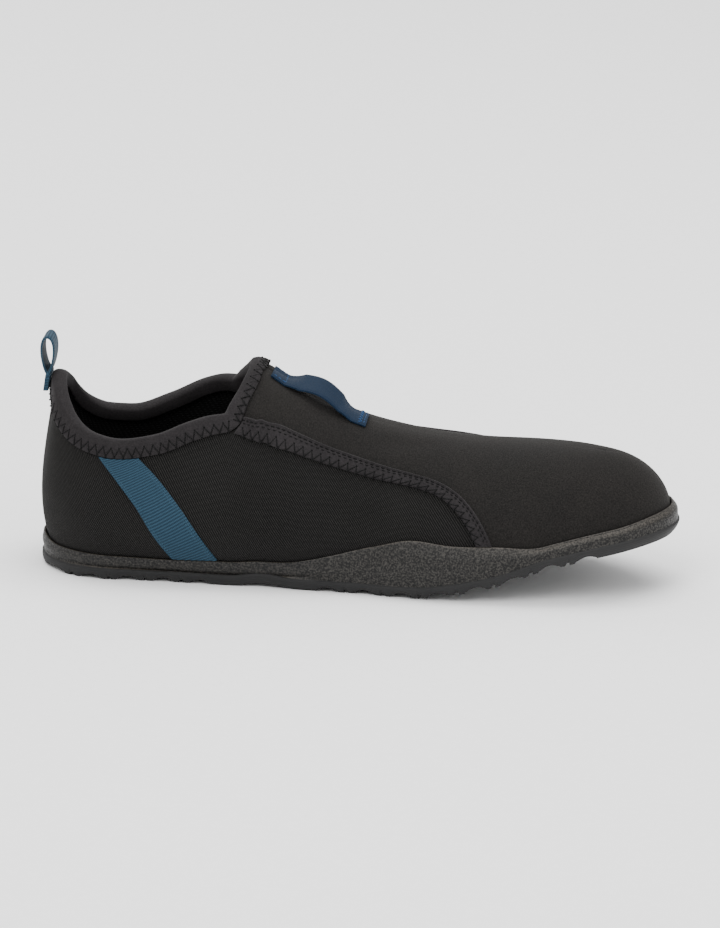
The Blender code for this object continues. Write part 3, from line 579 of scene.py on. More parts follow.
def paired_nets(steps, across, pair):
    """Upper and under net of a thin piece, from the pair of points at each row and column."""
    nets = [[pair(i, j) for j in range(across + 1)] for i in range(steps + 1)]
    return [[[spots[n] for spots in row] for row in nets] for n in (0, 1)]


def strip_place(table, along, over):
    """Place on a strip that a table gives by its two edges."""
    front = curve_through([Vector(row[:2]) for row in table], along)
    back = curve_through([Vector(row[2:]) for row in table], along)
    return front.lerp(back, over)


def make_piece(name, points, faces, materials, slots=None, uvs=None, sharp=None):
    """A named piece from points in shoe coordinates, with UVs given for each face's corners."""
    mesh = bpy.data.meshes.new(name)
    mesh.from_pydata([tuple(Vector(p) + SHIFT) for p in points], [], faces)
    for material in materials:
        mesh.materials.append(material)
    if slots is not None:
        mesh.polygons.foreach_set("material_index", slots)
    if uvs is not None:
        layer = mesh.uv_layers.new(name="cloth")
        layer.data.foreach_set("uv", np.array(uvs, dtype=np.float32).ravel())
    mesh.shade_smooth()
    if sharp is not None:
        mesh.set_sharp_from_angle(angle=sharp)
    mesh.update()
    piece = bpy.data.objects.new(name, mesh)
    scene.collection.objects.link(piece)
    return piece


def finish_piece(piece, slot, *nodes):
    """The piece rides with the shoe and stands for the named solids; the slot is not used."""
    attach(piece, "root")
    if nodes:
        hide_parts(*nodes)
    return piece


class Net:
    """The upper's outer face as a fine net, with its folds, on which other pieces are laid."""

    NORMAL_REACH = 0.0020

    def __init__(self):
        self.throat = round(SECTIONS[THROAT].around * AROUND_CELLS)
        self.index = {}
        self.sites = []
        self.lengths = {}
        self.ways = {}
        self.quads = []
        self.quad_sites = []
        points = []
        for side in SIDES:
            for k in range(AROUND_CELLS + 1):
                line = wall_line(side, k / AROUND_CELLS)
                column = [on_line(line, j / RISE_CELLS) for j in range(RISE_CELLS + 1)]
                self.lengths[side, k] = measured(column)
                for j, point in enumerate(column):
                    key = self.key(side, k, j)
                    if key not in self.index:
                        self.index[key] = len(points)
                        self.sites.append((side, k, j))
                        points.append(point)
        for side in SIDES:
            row = [self.index[self.key(side, k, RISE_CELLS // 3)] for k in range(AROUND_CELLS + 1)]
            self.ways[side] = measured([points[i] for i in row])
            for k in range(AROUND_CELLS):
                for j in range(RISE_CELLS):
                    corners = cell(k, j)
                    if side > 0.0:
                        corners.reverse()
                    self.quads.append([self.index[self.key(side, *c)] for c in corners])
                    self.quad_sites.append((side, corners))
        flat = np.array([tuple(p) for p in points])
        self.points = flat + self.normals_of(flat) * self.relief()[:, None]
        self.tree = BVHTree.FromPolygons([Vector(p) for p in self.points], self.quads)

    def key(self, side, k, j):
        shared = k in (0, AROUND_CELLS) or (j == RISE_CELLS and k >= self.throat)
        return (0.0 if shared else side, k, j)

    def normals_of(self, points, rounds=3):
        """Directions out of the net at its points, evened over their neighbours."""
        quads = np.array(self.quads)
        corner = points[quads]
        face = np.cross(corner[:, 2] - corner[:, 0], corner[:, 3] - corner[:, 1])
        total = np.zeros_like(points)
        for i in range(4):
            np.add.at(total, quads[:, i], face)
        for turn in range(rounds + 1):
            spread = total.copy()
            if turn:
                for i in range(4):
                    np.add.at(spread, quads[:, i], total[quads[:, (i + 1) % 4]])
                    np.add.at(spread, quads[:, i], total[quads[:, (i + 3) % 4]])
            total = spread / np.maximum(np.linalg.norm(spread, axis=1), 1e-12)[:, None]
        return total

    def relief(self):
        """How far the folds move each point out of the wall."""
        depth = np.zeros(len(self.sites))
        for n, (side, k, j) in enumerate(self.sites):
            way = self.ways[side][k]
            climb = self.lengths[side, k][j]
            for crease in CREASES:
                if crease.side != side:
                    continue
                home = round(crease.around * AROUND_CELLS)
                turn = radians(crease.turn)
                du = way - self.ways[side][home]
                dv = climb - self.lengths[side, home][round(crease.rise * RISE_CELLS)]
                u = (du * cos(turn) + dv * sin(turn)) / crease.length
                v = (dv * cos(turn) - du * sin(turn)) / crease.width
                if abs(u) > 3.0 or abs(v) > 4.0:
                    continue
                depth[n] -= crease.depth * np.exp(-u * u) * (1.0 - 0.9 * v * v) * np.exp(-v * v)
        return depth

    def normal(self, point):
        """Direction straight out of the wall, evened over its nearest faces."""
        total = Vector((0.0, 0.0, 0.0))
        for hit in self.tree.find_nearest_range(point, self.NORMAL_REACH):
            total += hit[1]
        return total.normalized()

    def lay(self, point, lift):
        """The place on the wall nearest to a point, lifted off it."""
        place = self.tree.find_nearest(point)[0]
        return place + self.normal(place) * lift

    def uv(self, side, k, j):
        return self.ways[side][k], self.lengths[side, k][j]


def foot_tables():
    """For each side, how far up the wall the sole's rim and the bindings reach."""
    tables = {}
    places = [k / FOOT_STEPS for k in range(FOOT_STEPS + 1)]
    for side in SIDES:
        low = []
        high = []
        for around in places:
            foot = lasted_edge(side, around)
            low.append(rise_at(side, around, rim_height(side, foot.x) + RIM_THICKNESS / 2.0))
            high.append(binding_foot(side, around))
        tables[side] = (places, low, high)
    return tables


def reach_at(side, around):
    """How far up the wall the sole's rim and the binding reach there."""
    places, lows, highs = FEET[side]
    return float(np.interp(around, places, lows)), float(np.interp(around, places, highs))


def place_between(side, around, share):
    """Point of the wall a share of the way from the sole's rim to the binding or the ridge."""
    low, high = reach_at(side, around)
    return wall_point(side, around, low + (high - low) * min(max(share, 0.0), 1.0))


def place_at(side, around, rise):
    """Point of the wall at a rise, kept between the sole's rim and the binding."""
    low, high = reach_at(side, around)
    return wall_point(side, around, min(max(rise, low), high))


def panel_border(side, around):
    """How far up the wall the vamp's panel ends, under the middle of the tape."""
    table = MEDIAL_TAPE if side < 0.0 else LATERAL_TAPE
    middles = [((row[0] + row[2]) / 2.0, (row[1] + row[3]) / 2.0) for row in table]
    if around < middles[0][0]:
        return 2.0
    if around > middles[-1][0]:
        return -1.0
    return float(np.interp(around, [m[0] for m in middles], [m[1] for m in middles]))


def make_upper():
    """The cloth wall: vamp and side panels outside, mesh lining inside."""
    count = len(net.points)
    inner_normals = net.normals_of(net.points, rounds=8)
    inner = net.points - inner_normals * WALL
    outer = net.points.copy()
    for n, (side, k, j) in enumerate(net.sites):
        if j == 0:
            outer[n, 2] += CLEARANCE
            inner[n] = outer[n] - np.array(tuple(outward(side, k / AROUND_CELLS))) * WALL
    points = np.concatenate([outer, inner])
    faces, slots, uvs = [], [], []
    places = [(side, k) for side in SIDES for k in range(AROUND_CELLS)]
    borders = {(side, k): panel_border(side, (k + 0.5) / AROUND_CELLS) for side, k in places}
    for quad, (side, corners) in zip(net.quads, net.quad_sites):
        k = min(c[0] for c in corners)
        rise = (min(c[1] for c in corners) + 0.5) / RISE_CELLS
        faces.append(quad)
        slots.append(0 if rise > borders[side, k] else 1)
        uvs += [net.uv(side, *c) for c in corners]
    for quad, (side, corners) in zip(net.quads, net.quad_sites):
        faces.append([count + i for i in reversed(quad)])
        slots.append(2)
        uvs += [net.uv(side, *c) for c in reversed(corners)]
    for side in SIDES:
        for j, last in ((0, AROUND_CELLS), (RISE_CELLS, net.throat)):
            for k in range(last):
                a = net.index[net.key(side, k, j)]
                b = net.index[net.key(side, k + 1, j)]
                strip = [a, b, count + b, count + a]
                if (side > 0.0) == (j > 0):
                    strip.reverse()
                faces.append(strip)
                slots.append(2)
                uvs += [(0.0, 0.0)] * 4
    piece = make_piece("upper_cloth", points, faces, [VAMP, SIDE_KNIT, LINING], slots, uvs)
    return finish_piece(piece, "knit", "upper")


def sheet_piece(name, tops, bottoms, material, uv_of):
    """A closed thin piece between two nets with the same rows and columns."""
    rows = len(tops)
    columns = len(tops[0])
    half = rows * columns
    points = [p for row in tops for p in row] + [p for row in bottoms for p in row]
    upper, sites = grid_faces(rows, columns)
    faces = list(upper)
    uvs = [uv_of(*c) for corners in sites for c in corners]
    for quad, corners in zip(upper, sites):
        faces.append([half + v for v in reversed(quad)])
        uvs += [uv_of(*c) for c in reversed(corners)]
    ring = [(i, 0) for i in range(rows)] + [(rows - 1, j) for j in range(1, columns)]
    ring += [(i, columns - 1) for i in range(rows - 2, -1, -1)]
    ring += [(0, j) for j in range(columns - 2, 0, -1)]
    for n, site in enumerate(ring):
        other = ring[(n + 1) % len(ring)]
        a = site[0] * columns + site[1]
        b = other[0] * columns + other[1]
        faces.append([b, a, half + a, half + b])
        uvs += [uv_of(*other), uv_of(*site), uv_of(*site), uv_of(*other)]
    first = tops[0][0]
    facing = (tops[1][0] - first).cross(tops[0][1] - first)
    if facing.dot(first - bottoms[0][0]) < 0.0:
        faces = [list(reversed(face)) for face in faces]
        turned = []
        for start in range(0, len(uvs), 4):
            turned += list(reversed(uvs[start:start + 4]))
        uvs = turned
    return make_piece(name, points, faces, [material], None, uvs, SHEET_SHARP)


class Threads:
    """Sewing stitches gathered into one mesh."""

    RINGS = 5
    ROUND = 6

    def __init__(self):
        self.points = []
        self.faces = []

    def add(self, start, end, up, radius, proud):
        """One stitch that comes out of the cloth at its start and goes back in at its end."""
        along = (end - start).normalized()
        across = along.cross(up).normalized()
        up = across.cross(along).normalized()
        first = len(self.points)
        for i in range(self.RINGS + 1):
            t = i / self.RINGS
            arch = sin(pi * t) ** 0.6
            centre = start.lerp(end, t) + up * (proud * arch - radius * (1.0 - arch))
            size = radius * (0.6 + 0.4 * arch)
            for s in range(self.ROUND):
                angle = 2.0 * pi * s / self.ROUND
                rim = across * (size * cos(angle)) + up * (size * sin(angle))
                self.points.append(centre + rim)
        faces, _ = grid_faces(self.RINGS + 1, self.ROUND, first, closed=True)
        self.faces += faces
        self.faces.append([first + s for s in range(self.ROUND)])
        last = first + self.RINGS * self.ROUND
        self.faces.append([last + s for s in reversed(range(self.ROUND))])

    def row(self, run, stitch, first, spot, tail):
        """A row of stitches along a measured line, from a first length to a bare tail."""
        length, pitch, radius, proud = stitch
        while first < run[-1] - tail:
            ends = [spot(at_length(run, first)), spot(at_length(run, first + length))]
            self.add(*ends, net.normal(ends[0]), radius, proud)
            first += pitch

    def zigzag(self, spot, run, near, far, step):
        """Stitches that go to and fro between two lines of a strip, with a knot at each turn."""
        length = step
        turn = False
        while length < run[-1] - step:
            a = spot(at_length(run, length), far if turn else near)
            b = spot(at_length(run, length + step), near if turn else far)
            up = (net.normal(a) + net.normal(b)).normalized()
            self.add(a, b, up, ZIGZAG_RADIUS, 0.00006)
            knot = (b - a).cross(up).normalized() * (ZIGZAG_RADIUS * 1.6)
            self.add(a - knot, a + knot, up, ZIGZAG_RADIUS * 1.5, 0.00004)
            turn = not turn
            length += step

    def piece(self, name, material, slot):
        return finish_piece(make_piece(name, self.points, self.faces, [material]), slot)


def make_tape(name, side, table):
    """A vamp tape: a rolled upper edge, two rows of lock stitches and a zigzag row below."""
    steps = 220
    across = 14

    def spot(along, over, lift=TAPE_SEAT + TAPE_THICKNESS):
        place = strip_place(table, along, over)
        return net.lay(place_at(side, place.x, place.y), lift)

    def pair(i, j):
        over = j / across
        edge = min(over, 1.0 - over) * across
        crown = TAPE_THICKNESS * (0.45 + 0.55 * min(edge / 1.6, 1.0) ** 0.5)
        lift = TAPE_SEAT + crown
        for place, width, height in (TAPE_ROLL, TAPE_GROOVE):
            lift += height * np.exp(-((over - place) / width) ** 2)
        return spot(i / steps, over, lift), spot(i / steps, over, UNDER_LIFT)

    tops, bottoms = paired_nets(steps, across, pair)
    run = measured([row[across // 2] for row in tops])
    width = (tops[steps // 2][0] - tops[steps // 2][across]).length
    piece = sheet_piece(name, tops, bottoms, EDGING, lambda i, j: (run[i], width * j / across))
    finish_piece(piece, "edging", name.replace("_cloth", ""))

    stitches = Threads()
    for over, first in TAPE_ROWS:
        stitches.row(run, LOCK_STITCH, first, lambda along: spot(along, over), 0.0026)
    stitches.zigzag(spot, run, *TAPE_ZIGZAG)
    stitches.piece(name.replace("_cloth", "_stitches"), THREAD, "edging")


def opening_frame(side, around):
    """Edge point of the opening, the wall's normal there and the way down its face."""
    throat = SECTIONS[THROAT].around
    edge = top_line(side, around)
    ahead = top_line(side, min(around + SLOPE_STEP, throat))
    behind = top_line(side, max(around - SLOPE_STEP, 0.0))
    if around <= 0.0:
        along = Vector((0.0, side, 0.0))
    elif around >= throat:
        along = Vector((0.0, -side, 0.0))
    else:
        along = (ahead - behind).normalized()
    normal = net.normal(edge)
    normal = (normal - along * normal.dot(along)).normalized()
    return edge, normal, normal.cross(along) * side


def smooth_frames(row):
    """Frames along a stretch of the opening, turned evenly where its edge bends."""
    frames = [opening_frame(side, around) for side, around in row]
    run = measured([edge for edge, _, _ in frames])
    smooth = []
    for i, (edge, normal, down) in enumerate(frames):
        reach = min(FRAME_REACH, run[i], run[-1] - run[i])
        if reach > 0.0005:
            weights = [max(1.0 - abs(at - run[i]) / reach, 0.0) for at in run]
            normal = sum((f[1] * w for f, w in zip(frames, weights)), Vector()).normalized()
            down = sum((f[2] * w for f, w in zip(frames, weights)), Vector())
            down = (down - normal * down.dot(normal)).normalized()
        smooth.append((edge, normal, down))
    return smooth


def binding_profile(edge, normal, down):
    """Round-edged section of the binding: down the outside, over the edge and down the inside."""
    over = BINDING_SEAT + BINDING_THICKNESS
    inside = WALL + 2.0 * BINDING_SEAT
    lining = inside + BINDING_THICKNESS
    half_thick = (over + lining) / 2.0
    middle = edge - normal * ((lining - over) / 2.0)
    outer_face = [
        (BINDING_BAND, BINDING_SEAT - 0.0004),
        (BINDING_BAND + 0.0002, over * 0.7),
        (BINDING_BAND - 0.0005, over),
        (BINDING_BAND * 0.74, over),
        (BINDING_BAND * 0.48, over + 0.0001),
        (BINDING_BAND * 0.24, over + 0.0001),
    ]
    inner_face = [
        (BINDING_LINING * 0.4, -lining),
        (BINDING_LINING * 0.8, -lining),
        (BINDING_LINING, -lining + 0.0003),
        (BINDING_LINING, -inside + 0.0004),
    ]
    points = [net.lay(edge + down * depth, lift) for depth, lift in outer_face]
    for i in range(9):
        angle = pi * i / 8.0
        around = normal * (half_thick * cos(angle)) - down * (over * 1.05 * sin(angle))
        points.append(middle + around)
    return points + [net.lay(edge + down * depth, lift) for depth, lift in inner_face]


def make_binding(name, row):
    """One binding swept along its stretch of the opening, and its zigzag stitches."""
    frames = smooth_frames(row)
    profiles = [binding_profile(*frame) for frame in frames]
    size = len(profiles[0])
    run = measured([profile[10] for profile in profiles])
    across = measured(profiles[len(profiles) // 2])
    across.append(across[-1] + 0.002)
    quads, sites = grid_faces(len(profiles), size, closed=True)
    faces = [other_way(quad) for quad in quads]
    uvs = [(run[i], across[j]) for corners in sites for i, j in other_way(corners)]
    faces += [list(reversed(range(size))), [(len(profiles) - 1) * size + j for j in range(size)]]
    uvs += [(0.0, 0.0)] * (2 * size)
    points = [p for profile in profiles for p in profile]
    piece = make_piece(name, points, faces, [EDGING], None, uvs, BINDING_SHARP)
    finish_piece(piece, "edging", name.replace("_cloth", ""))

    def spot_on(lift):
        def spot(along, depth):
            at = along * (len(frames) - 1)
            k = min(int(at), len(frames) - 2)
            spots = [net.lay(edge + down * depth, lift) for edge, _, down in frames[k:k + 2]]
            return spots[0].lerp(spots[1], at - k)
        return spot

    stitches = Threads()
    outside = measured([edge + down * BINDING_BAND for edge, _, down in frames])
    over = BINDING_SEAT + BINDING_THICKNESS
    stitches.zigzag(spot_on(over + 0.0001), outside, *OUTER_ZIGZAG)
    stitches.zigzag(spot_on(-WALL - BINDING_SEAT - over), outside, *INNER_ZIGZAG)
    stitches.piece(name.replace("_cloth", "_stitches"), THREAD, "edging")


def make_bindings():
    """The collar's binding from corner to corner by the heel, and the throat's over the instep."""
    fine = 84
    collar = [(MEDIAL, CORNER * k / fine) for k in range(fine, 0, -1)]
    collar += [(LATERAL, CORNER * k / fine) for k in range(fine + 1)]
    fine = 60
    places = [CORNER + (SECTIONS[THROAT].around - CORNER) * k / fine for k in range(fine + 1)]
    front = [(LATERAL, place) for place in places[:-1]]
    front += [(MEDIAL, place) for place in reversed(places)]
    make_binding("collar_binding_cloth", collar)
    make_binding("throat_binding_cloth", front)


def make_strap(name, side, table):
    """Ribbed webbing laid on the wall, with thicker woven edges and their chain stitches."""
    steps = 420
    across = 20
    coarse = 60
    grid = []
    for i in range(coarse + 1):
        row = []
        for j in range(across + 1):
            place = strip_place(table, i / coarse, j / across)
            foot = net.tree.find_nearest(place_between(side, place.x, place.y))[0]
            row.append((foot, net.normal(foot)))
        grid.append(row)
    run = measured([row[across // 2][0] for row in grid])

    def climb(length, j):
        return length + RIB_SLANT * STRAP_WIDTH * (0.5 - j / across)

    def pair(i, j):
        at = i / steps * coarse
        k = min(int(at), coarse - 1)
        place, normal = (a.lerp(b, at - k) for a, b in zip(grid[k][j], grid[k + 1][j]))
        normal.normalize()
        edge = min(j, across - j)
        lift = SEAT + STRAP_THICKNESS * (0.70 if edge else 0.45)
        if edge in (1, 2):
            lift += STRAP_THICKNESS * 0.08
        elif edge:
            turn = climb(float(np.interp(at, range(coarse + 1), run)), j) / RIB_PITCH
            lift += RIB_DEPTH * (0.5 - 0.5 * cos(2.0 * pi * turn))
        return place + normal * lift, place + normal * UNDER_LIFT

    def uv_of(i, j):
        return climb(run[-1] * i / steps, j), STRAP_WIDTH * j / across

    tops, bottoms = paired_nets(steps, across, pair)
    piece = sheet_piece(name, tops, bottoms, WEBBING, uv_of)
    finish_piece(piece, "webbing", name.replace("_webbing", ""))

    stitches = Threads()
    for j, first in STRAP_ROWS:
        line = [row[j] for row in tops]

        def spot(along):
            return curve_through(line, along)

        stitches.row(measured(line), CHAIN_STITCH, first, spot, 0.0012)
    stitches.piece(name.replace("_webbing", "_stitches"), STRAP_THREAD, "webbing")


def make_label():
    """The instep's sewn strip: flat at both ends, bowed up between them, with its stitches."""
    steps = 72
    across = 16
    throat = SECTIONS[THROAT].around
    start = top_line(LATERAL, throat)
    places = [throat + (1.0 - throat) * k / OPENING_STEPS for k in range(OPENING_STEPS)]
    ridge = [top_line(LATERAL, place) for place in places]
    ahead = next(p for p in ridge if (p - start).length > BINDING_BAND + LABEL_LENGTH)
    way = (ahead - start).normalized()
    begin = BINDING_BAND + CLEARANCE + BINDING_SEAT + BINDING_THICKNESS

    def spot(share, over, lift):
        free = min(max((share - LABEL_SEWN) / (1.0 - 2.0 * LABEL_SEWN), 0.0), 1.0)
        bow = LABEL_BOW * sin(pi * free) ** LABEL_FULLNESS
        aside = LABEL_START_ASIDE + (LABEL_END_ASIDE - LABEL_START_ASIDE) * share
        centre = start + way * (begin + LABEL_LENGTH * share) - Vector((0.0, aside, 0.0))
        centre = net.lay(centre, 0.0)
        up = net.normal(centre)
        blend = min(bow / LABEL_BOW * 2.0, 1.0)
        roll = radians(LABEL_ROLL) * blend
        cross = Vector((0.0, cos(roll), 0.0)) + up * sin(roll)
        place = centre + cross * (LABEL_WIDTH * (over - 0.5))
        seat = net.lay(place, lift)
        flat = place + up * lift
        return seat.lerp(flat, blend) + up * bow

    def pair(i, j):
        over = j / across
        edge = min(over, 1.0 - over) * LABEL_WIDTH
        crown = LABEL_THICKNESS * (0.70 + 0.30 * min(edge / 0.0010, 1.0) ** 0.5)
        under = SEAT + LABEL_THICKNESS * 0.15
        return spot(i / steps, over, SEAT + crown), spot(i / steps, over, under)

    tops, bottoms = paired_nets(steps, across, pair)
    run = measured([row[across // 2] for row in tops])

    def uv_of(i, j):
        return run[i], LABEL_WIDTH * j / across

    piece = sheet_piece("instep_loop_twill", tops, bottoms, TWILL, uv_of)
    finish_piece(piece, "twill", "instep_loop")

    stitches = Threads()
    length, pitch, radius, proud = BOX_STITCH

    def dash(*places):
        a, b = (spot(share, over, SEAT + LABEL_THICKNESS) for share, over in places)
        stitches.add(a, b, net.normal(a), radius, proud)

    at = 0.02
    while at < LABEL_SEWN + 0.005:
        for over in BOX_ROWS:
            dash((at, over), (at + length / LABEL_LENGTH, over))
        at += pitch / LABEL_LENGTH
    at = BOX_ROWS[0]
    while at < 0.88:
        for share in BOX_ENDS:
            dash((share, at), (share, at + length / LABEL_WIDTH))
        at += pitch / LABEL_WIDTH
    ends = BAR_LINES
    at = 0.06
    step = BAR_STEP / LABEL_WIDTH
    while at < 0.93:
        dash((ends[0], at), (ends[1], at + step))
        at += step
        ends = ends[::-1]
    stitches.piece("instep_loop_stitches", LABEL_THREAD, "twill")


def make_heel_loop():
    """Folded webbing that stands above the collar: a leaf-shaped eye and a sewn tail."""
    steps = 96
    across = 12
    edge, normal, down = opening_frame(LATERAL, 0.0)
    over = BINDING_SEAT + BINDING_THICKNESS + SEAT
    tail_top = edge + normal * over
    tail_end = net.lay(edge + down * (BINDING_BAND - SEAT), over)
    back = Vector((-1.0, 0.0, 0.0)) * (2.0 * LOOP_THICKNESS)
    neck = tail_top + back / 2.0
    half = LOOP_DEPTH / 2.0
    outer = []
    inner = []
    for i in range(steps + 1):
        angle = 2.0 * pi * i / steps
        height = (1.0 - cos(angle)) / 2.0
        swell = sin(angle) * (LOOP_NECK_FULLNESS + (1.0 - LOOP_NECK_FULLNESS) * height)
        rim = neck + Vector((half * swell, 0.0, LOOP_HEIGHT * height))
        blend = min(min(i, steps - i) / (steps * 0.06), 1.0)
        foot = tail_top if i < steps / 2 else tail_top + back
        rim = foot.lerp(rim, blend)
        eye = LOOP_HEIGHT - LOOP_THICKNESS * (EYE_BOTTOM + EYE_TOP)
        eye_height = LOOP_THICKNESS * EYE_BOTTOM + eye * height
        outer.append(rim)
        inner.append(neck + Vector(((half - LOOP_THICKNESS) * swell, 0.0, eye_height)))
    tail = 10
    shares = [i / tail for i in range(tail)]
    back_top = tail_top + back
    outer = [tail_end.lerp(tail_top, share) for share in shares] + outer
    outer += [back_top.lerp(tail_end + back, share + 1.0 / tail) for share in shares]
    fold = [(tail_end + back / 2.0).lerp(neck, share) for share in shares]
    inner = fold + inner + fold[::-1]
    run = measured(outer)

    def pair(i, j):
        a, b = outer[i], inner[i]
        out = (a - b).normalized() if (a - b).length > 1e-6 else Vector((0.0, 0.0, 1.0))
        rib = 0.5 - 0.5 * cos(2.0 * pi * run[i] / RIB_PITCH)
        side = min(j, across - j)
        proud = LOOP_SELVAGE[side] if side < 3 else RIB_DEPTH * 0.8 * rib - 0.0001
        aside = Vector((0.0, LOOP_WIDTH * (j / across - 0.5), 0.0))
        return a + out * proud + aside, b + aside

    def uv_of(i, j):
        return run[i], LOOP_WIDTH * j / across

    tops, bottoms = paired_nets(len(outer) - 1, across, pair)
    piece = sheet_piece("heel_pull_webbing", tops, bottoms, WEBBING, uv_of)
    finish_piece(piece, "webbing", "heel_pull_loop")


def groove_height(x, y):
    """How far the tread's grooves and slots lift the sole's underside at a place."""
    share = (1.0 - y / (BALL_WIDTH * GROOVE_REACH)) / 2.0
    bend = GROOVE_BEND * cos(2.0 * pi * share)
    lift = 0.0
    starts = [HEEL_GROOVE_START + LUG_PITCH * k for k in range(HEEL_GROOVES)]
    starts += [FORE_GROOVE_START + LUG_PITCH * k for k in range(FORE_GROOVES)]
    for middle in starts:
        t = (x - middle - bend) / GROOVE_WIDTH
        if abs(t) < 0.5:
            lift = max(lift, GROOVE_DEPTH * cos(pi * t) ** 0.7)
        s = (x - middle - bend - LUG_PITCH / 2.0) / SLOT_WIDTH
        if abs(s) < 0.5 and middle not in (starts[HEEL_GROOVES - 1], starts[-1]):
            lift = max(lift, SLOT_DEPTH * min((0.5 - abs(s)) * 8.0, 1.0))
    return lift


def sole_section(side, around):
    """Points of the sole from its bed, up inside the rim, over it and down to the bottom edge."""
    foot = lasted_edge(side, around)
    out = outward(side, around)
    rim = rise_at(side, around, rim_height(side, foot.x))
    inside = []
    outside = []
    for i in range(RIM_CELLS + 1):
        share = i / RIM_CELLS
        rise = rim * share
        normal = wall_normal(side, around, rise) if i else out
        point = wall_point(side, around, rise)
        inside.append(point + normal * CLEARANCE)
        thickness = SIDE_THICKNESS + (RIM_THICKNESS - SIDE_THICKNESS) * share
        thickness += 0.0005 * sin(pi * share) ** 2
        outside.append(point + normal * (CLEARANCE + thickness))
    lip = wall_normal(side, around, rim)
    top = (inside[-1] + outside[-1]) / 2.0
    up = (inside[-1] - inside[-2]).normalized()
    inside[-1] -= up * 0.0003
    outside[-1] -= up * 0.0003
    # a soft, slightly outward crest over the rim
    crest = [
        top - lip * (RIM_THICKNESS * 0.25) + up * 0.00025,
        top + lip * (RIM_THICKNESS * 0.12) + up * 0.0004,
        top + lip * (RIM_THICKNESS * 0.40) + up * 0.0001,
    ]
    section = inside + crest + list(reversed(outside[1:]))
    reach = CLEARANCE + SIDE_THICKNESS
    ground = bottom_height(foot.x)
    edge = foot + out * reach
    step = foot + out * (reach + SIDE_STEP)
    tuck = foot + out * (reach - EDGE_TUCK * read_table(PROFILES, "tuck", foot.x / LENGTH))
    ledge = ground + STEP_HEIGHT
    high = Vector((step.x, step.y, ledge - SIDE_STEP * 0.5))
    section.append(Vector((edge.x, edge.y, ledge + SIDE_STEP * 1.1)))
    section.append(Vector((step.x, step.y, ledge + SIDE_STEP * 0.25)))
    section.append(high)
    low = Vector((tuck.x, tuck.y, ground + groove_height(tuck.x, tuck.y)))
    for share in (0.25, 0.5, 0.75, 0.94):
        middle = high.lerp(low, share) + out * (0.0004 * sin(pi * share))
        if share > 0.6:
            middle.z = max(high.z + (ground - high.z) * share, low.z)
        section.append(middle)
    section.append(low)
    return section


def make_outsole():
    """Rubber cup with a grained side, a stepped foot and a grooved, slotted tread."""
    stations = range(SOLE_CELLS + 1)
    sections = {(side, k): sole_section(side, k / SOLE_CELLS) for side in SIDES for k in stations}
    depth = len(sections[LATERAL, 0])
    points = []
    index = {}
    for side in SIDES:
        for k in stations:
            for j in range(depth):
                if k in (0, SOLE_CELLS) and side == MEDIAL:
                    index[side, k, j] = index[LATERAL, k, j]
                    continue
                index[side, k, j] = len(points)
                points.append(sections[side, k][j])
    faces, slots, uvs = [], [], []
    grain_end = depth - 8
    for side in SIDES:
        run = measured([sections[side, k][depth // 2] for k in stations])
        climbs = [measured(sections[side, k][::-1]) for k in stations]
        for k in range(SOLE_CELLS):
            for j in range(depth - 1):
                corners = cell(k, j)
                if side < 0.0:
                    corners.reverse()
                faces.append([index[side, *c] for c in corners])
                slots.append(0 if j < grain_end else 1)
                uvs += [(run[c[0]], climbs[c[0]][depth - 1 - c[1]]) for c in corners]
    for bottom in (False, True):
        level = depth - 1 if bottom else 0
        cells = SOLE_ACROSS if bottom else 1
        rows = []
        for k in stations:
            left = points[index[LATERAL, k, level]]
            right = points[index[MEDIAL, k, level]]
            row = [index[LATERAL, k, level]]
            for c in range(1, cells):
                spot = left.lerp(right, c / cells)
                spot.z = bottom_height(spot.x) + groove_height(spot.x, spot.y)
                if k in (0, SOLE_CELLS):
                    row.append(row[0])
                    continue
                row.append(len(points))
                points.append(spot)
            row.append(index[MEDIAL, k, level])
            rows.append(row)
        for k in range(SOLE_CELLS):
            for c in range(cells):
                quad = [rows[k][c], rows[k][c + 1], rows[k + 1][c + 1], rows[k + 1][c]]
                quad = list(dict.fromkeys(quad))
                if bottom:
                    quad.reverse()
                faces.append(quad)
                slots.append(1)
                uvs += [(points[v].x, points[v].y) for v in quad]
    rubbers = [GRAIN_RUBBER, SMOOTH_RUBBER]
    piece = make_piece("outsole_rubber", points, faces, rubbers, slots, uvs, SOLE_SHARP)
    finish_piece(piece, "rubber", "outsole")


def make_insole():
    """Foam pad with a soft edge, faced with the lining's mesh."""
    cells = 160
    across = 14
    ends = []
    for k in range(cells + 1):
        row = []
        for side in SIDES:
            foot = lasted_edge(side, k / cells)
            out = outward(side, k / cells)
            level = foot.z + CLEARANCE + INSOLE_THICKNESS
            lean = foot - wall_point(side, k / cells, rise_at(side, k / cells, level))
            row.append(foot - out * (WALL + INSOLE_MARGIN + max(lean.dot(out), 0.0)))
        ends.append(row)

    def pair(k, c):
        share = c / across
        rim = min(min(share, 1.0 - share) / 0.06, 1.0) ** 0.5 if 0 < k < cells else 0.0
        dish = 0.0005 * (1.0 - (2.0 * share - 1.0) ** 2)
        height = INSOLE_THICKNESS * (0.72 + 0.28 * rim) - dish * rim
        spot = ends[k][0].lerp(ends[k][1], share) + Vector((0, 0, CLEARANCE))
        return spot + Vector((0, 0, height)), spot

    rows, unders = paired_nets(cells, across, pair)
    # the end rows have no width, so they stand in a little from the tips
    for end, near in ((0, 1), (cells, cells - 1)):
        for net_rows in (rows, unders):
            net_rows[end] = [a.lerp(b, 0.12) for a, b in zip(net_rows[end], net_rows[near])]

    def uv_of(i, j):
        return rows[i][j].x, rows[i][j].y

    piece = sheet_piece("insole_foam", rows, unders, INSOLE_CLOTH, uv_of)
    finish_piece(piece, "lining", "insole")


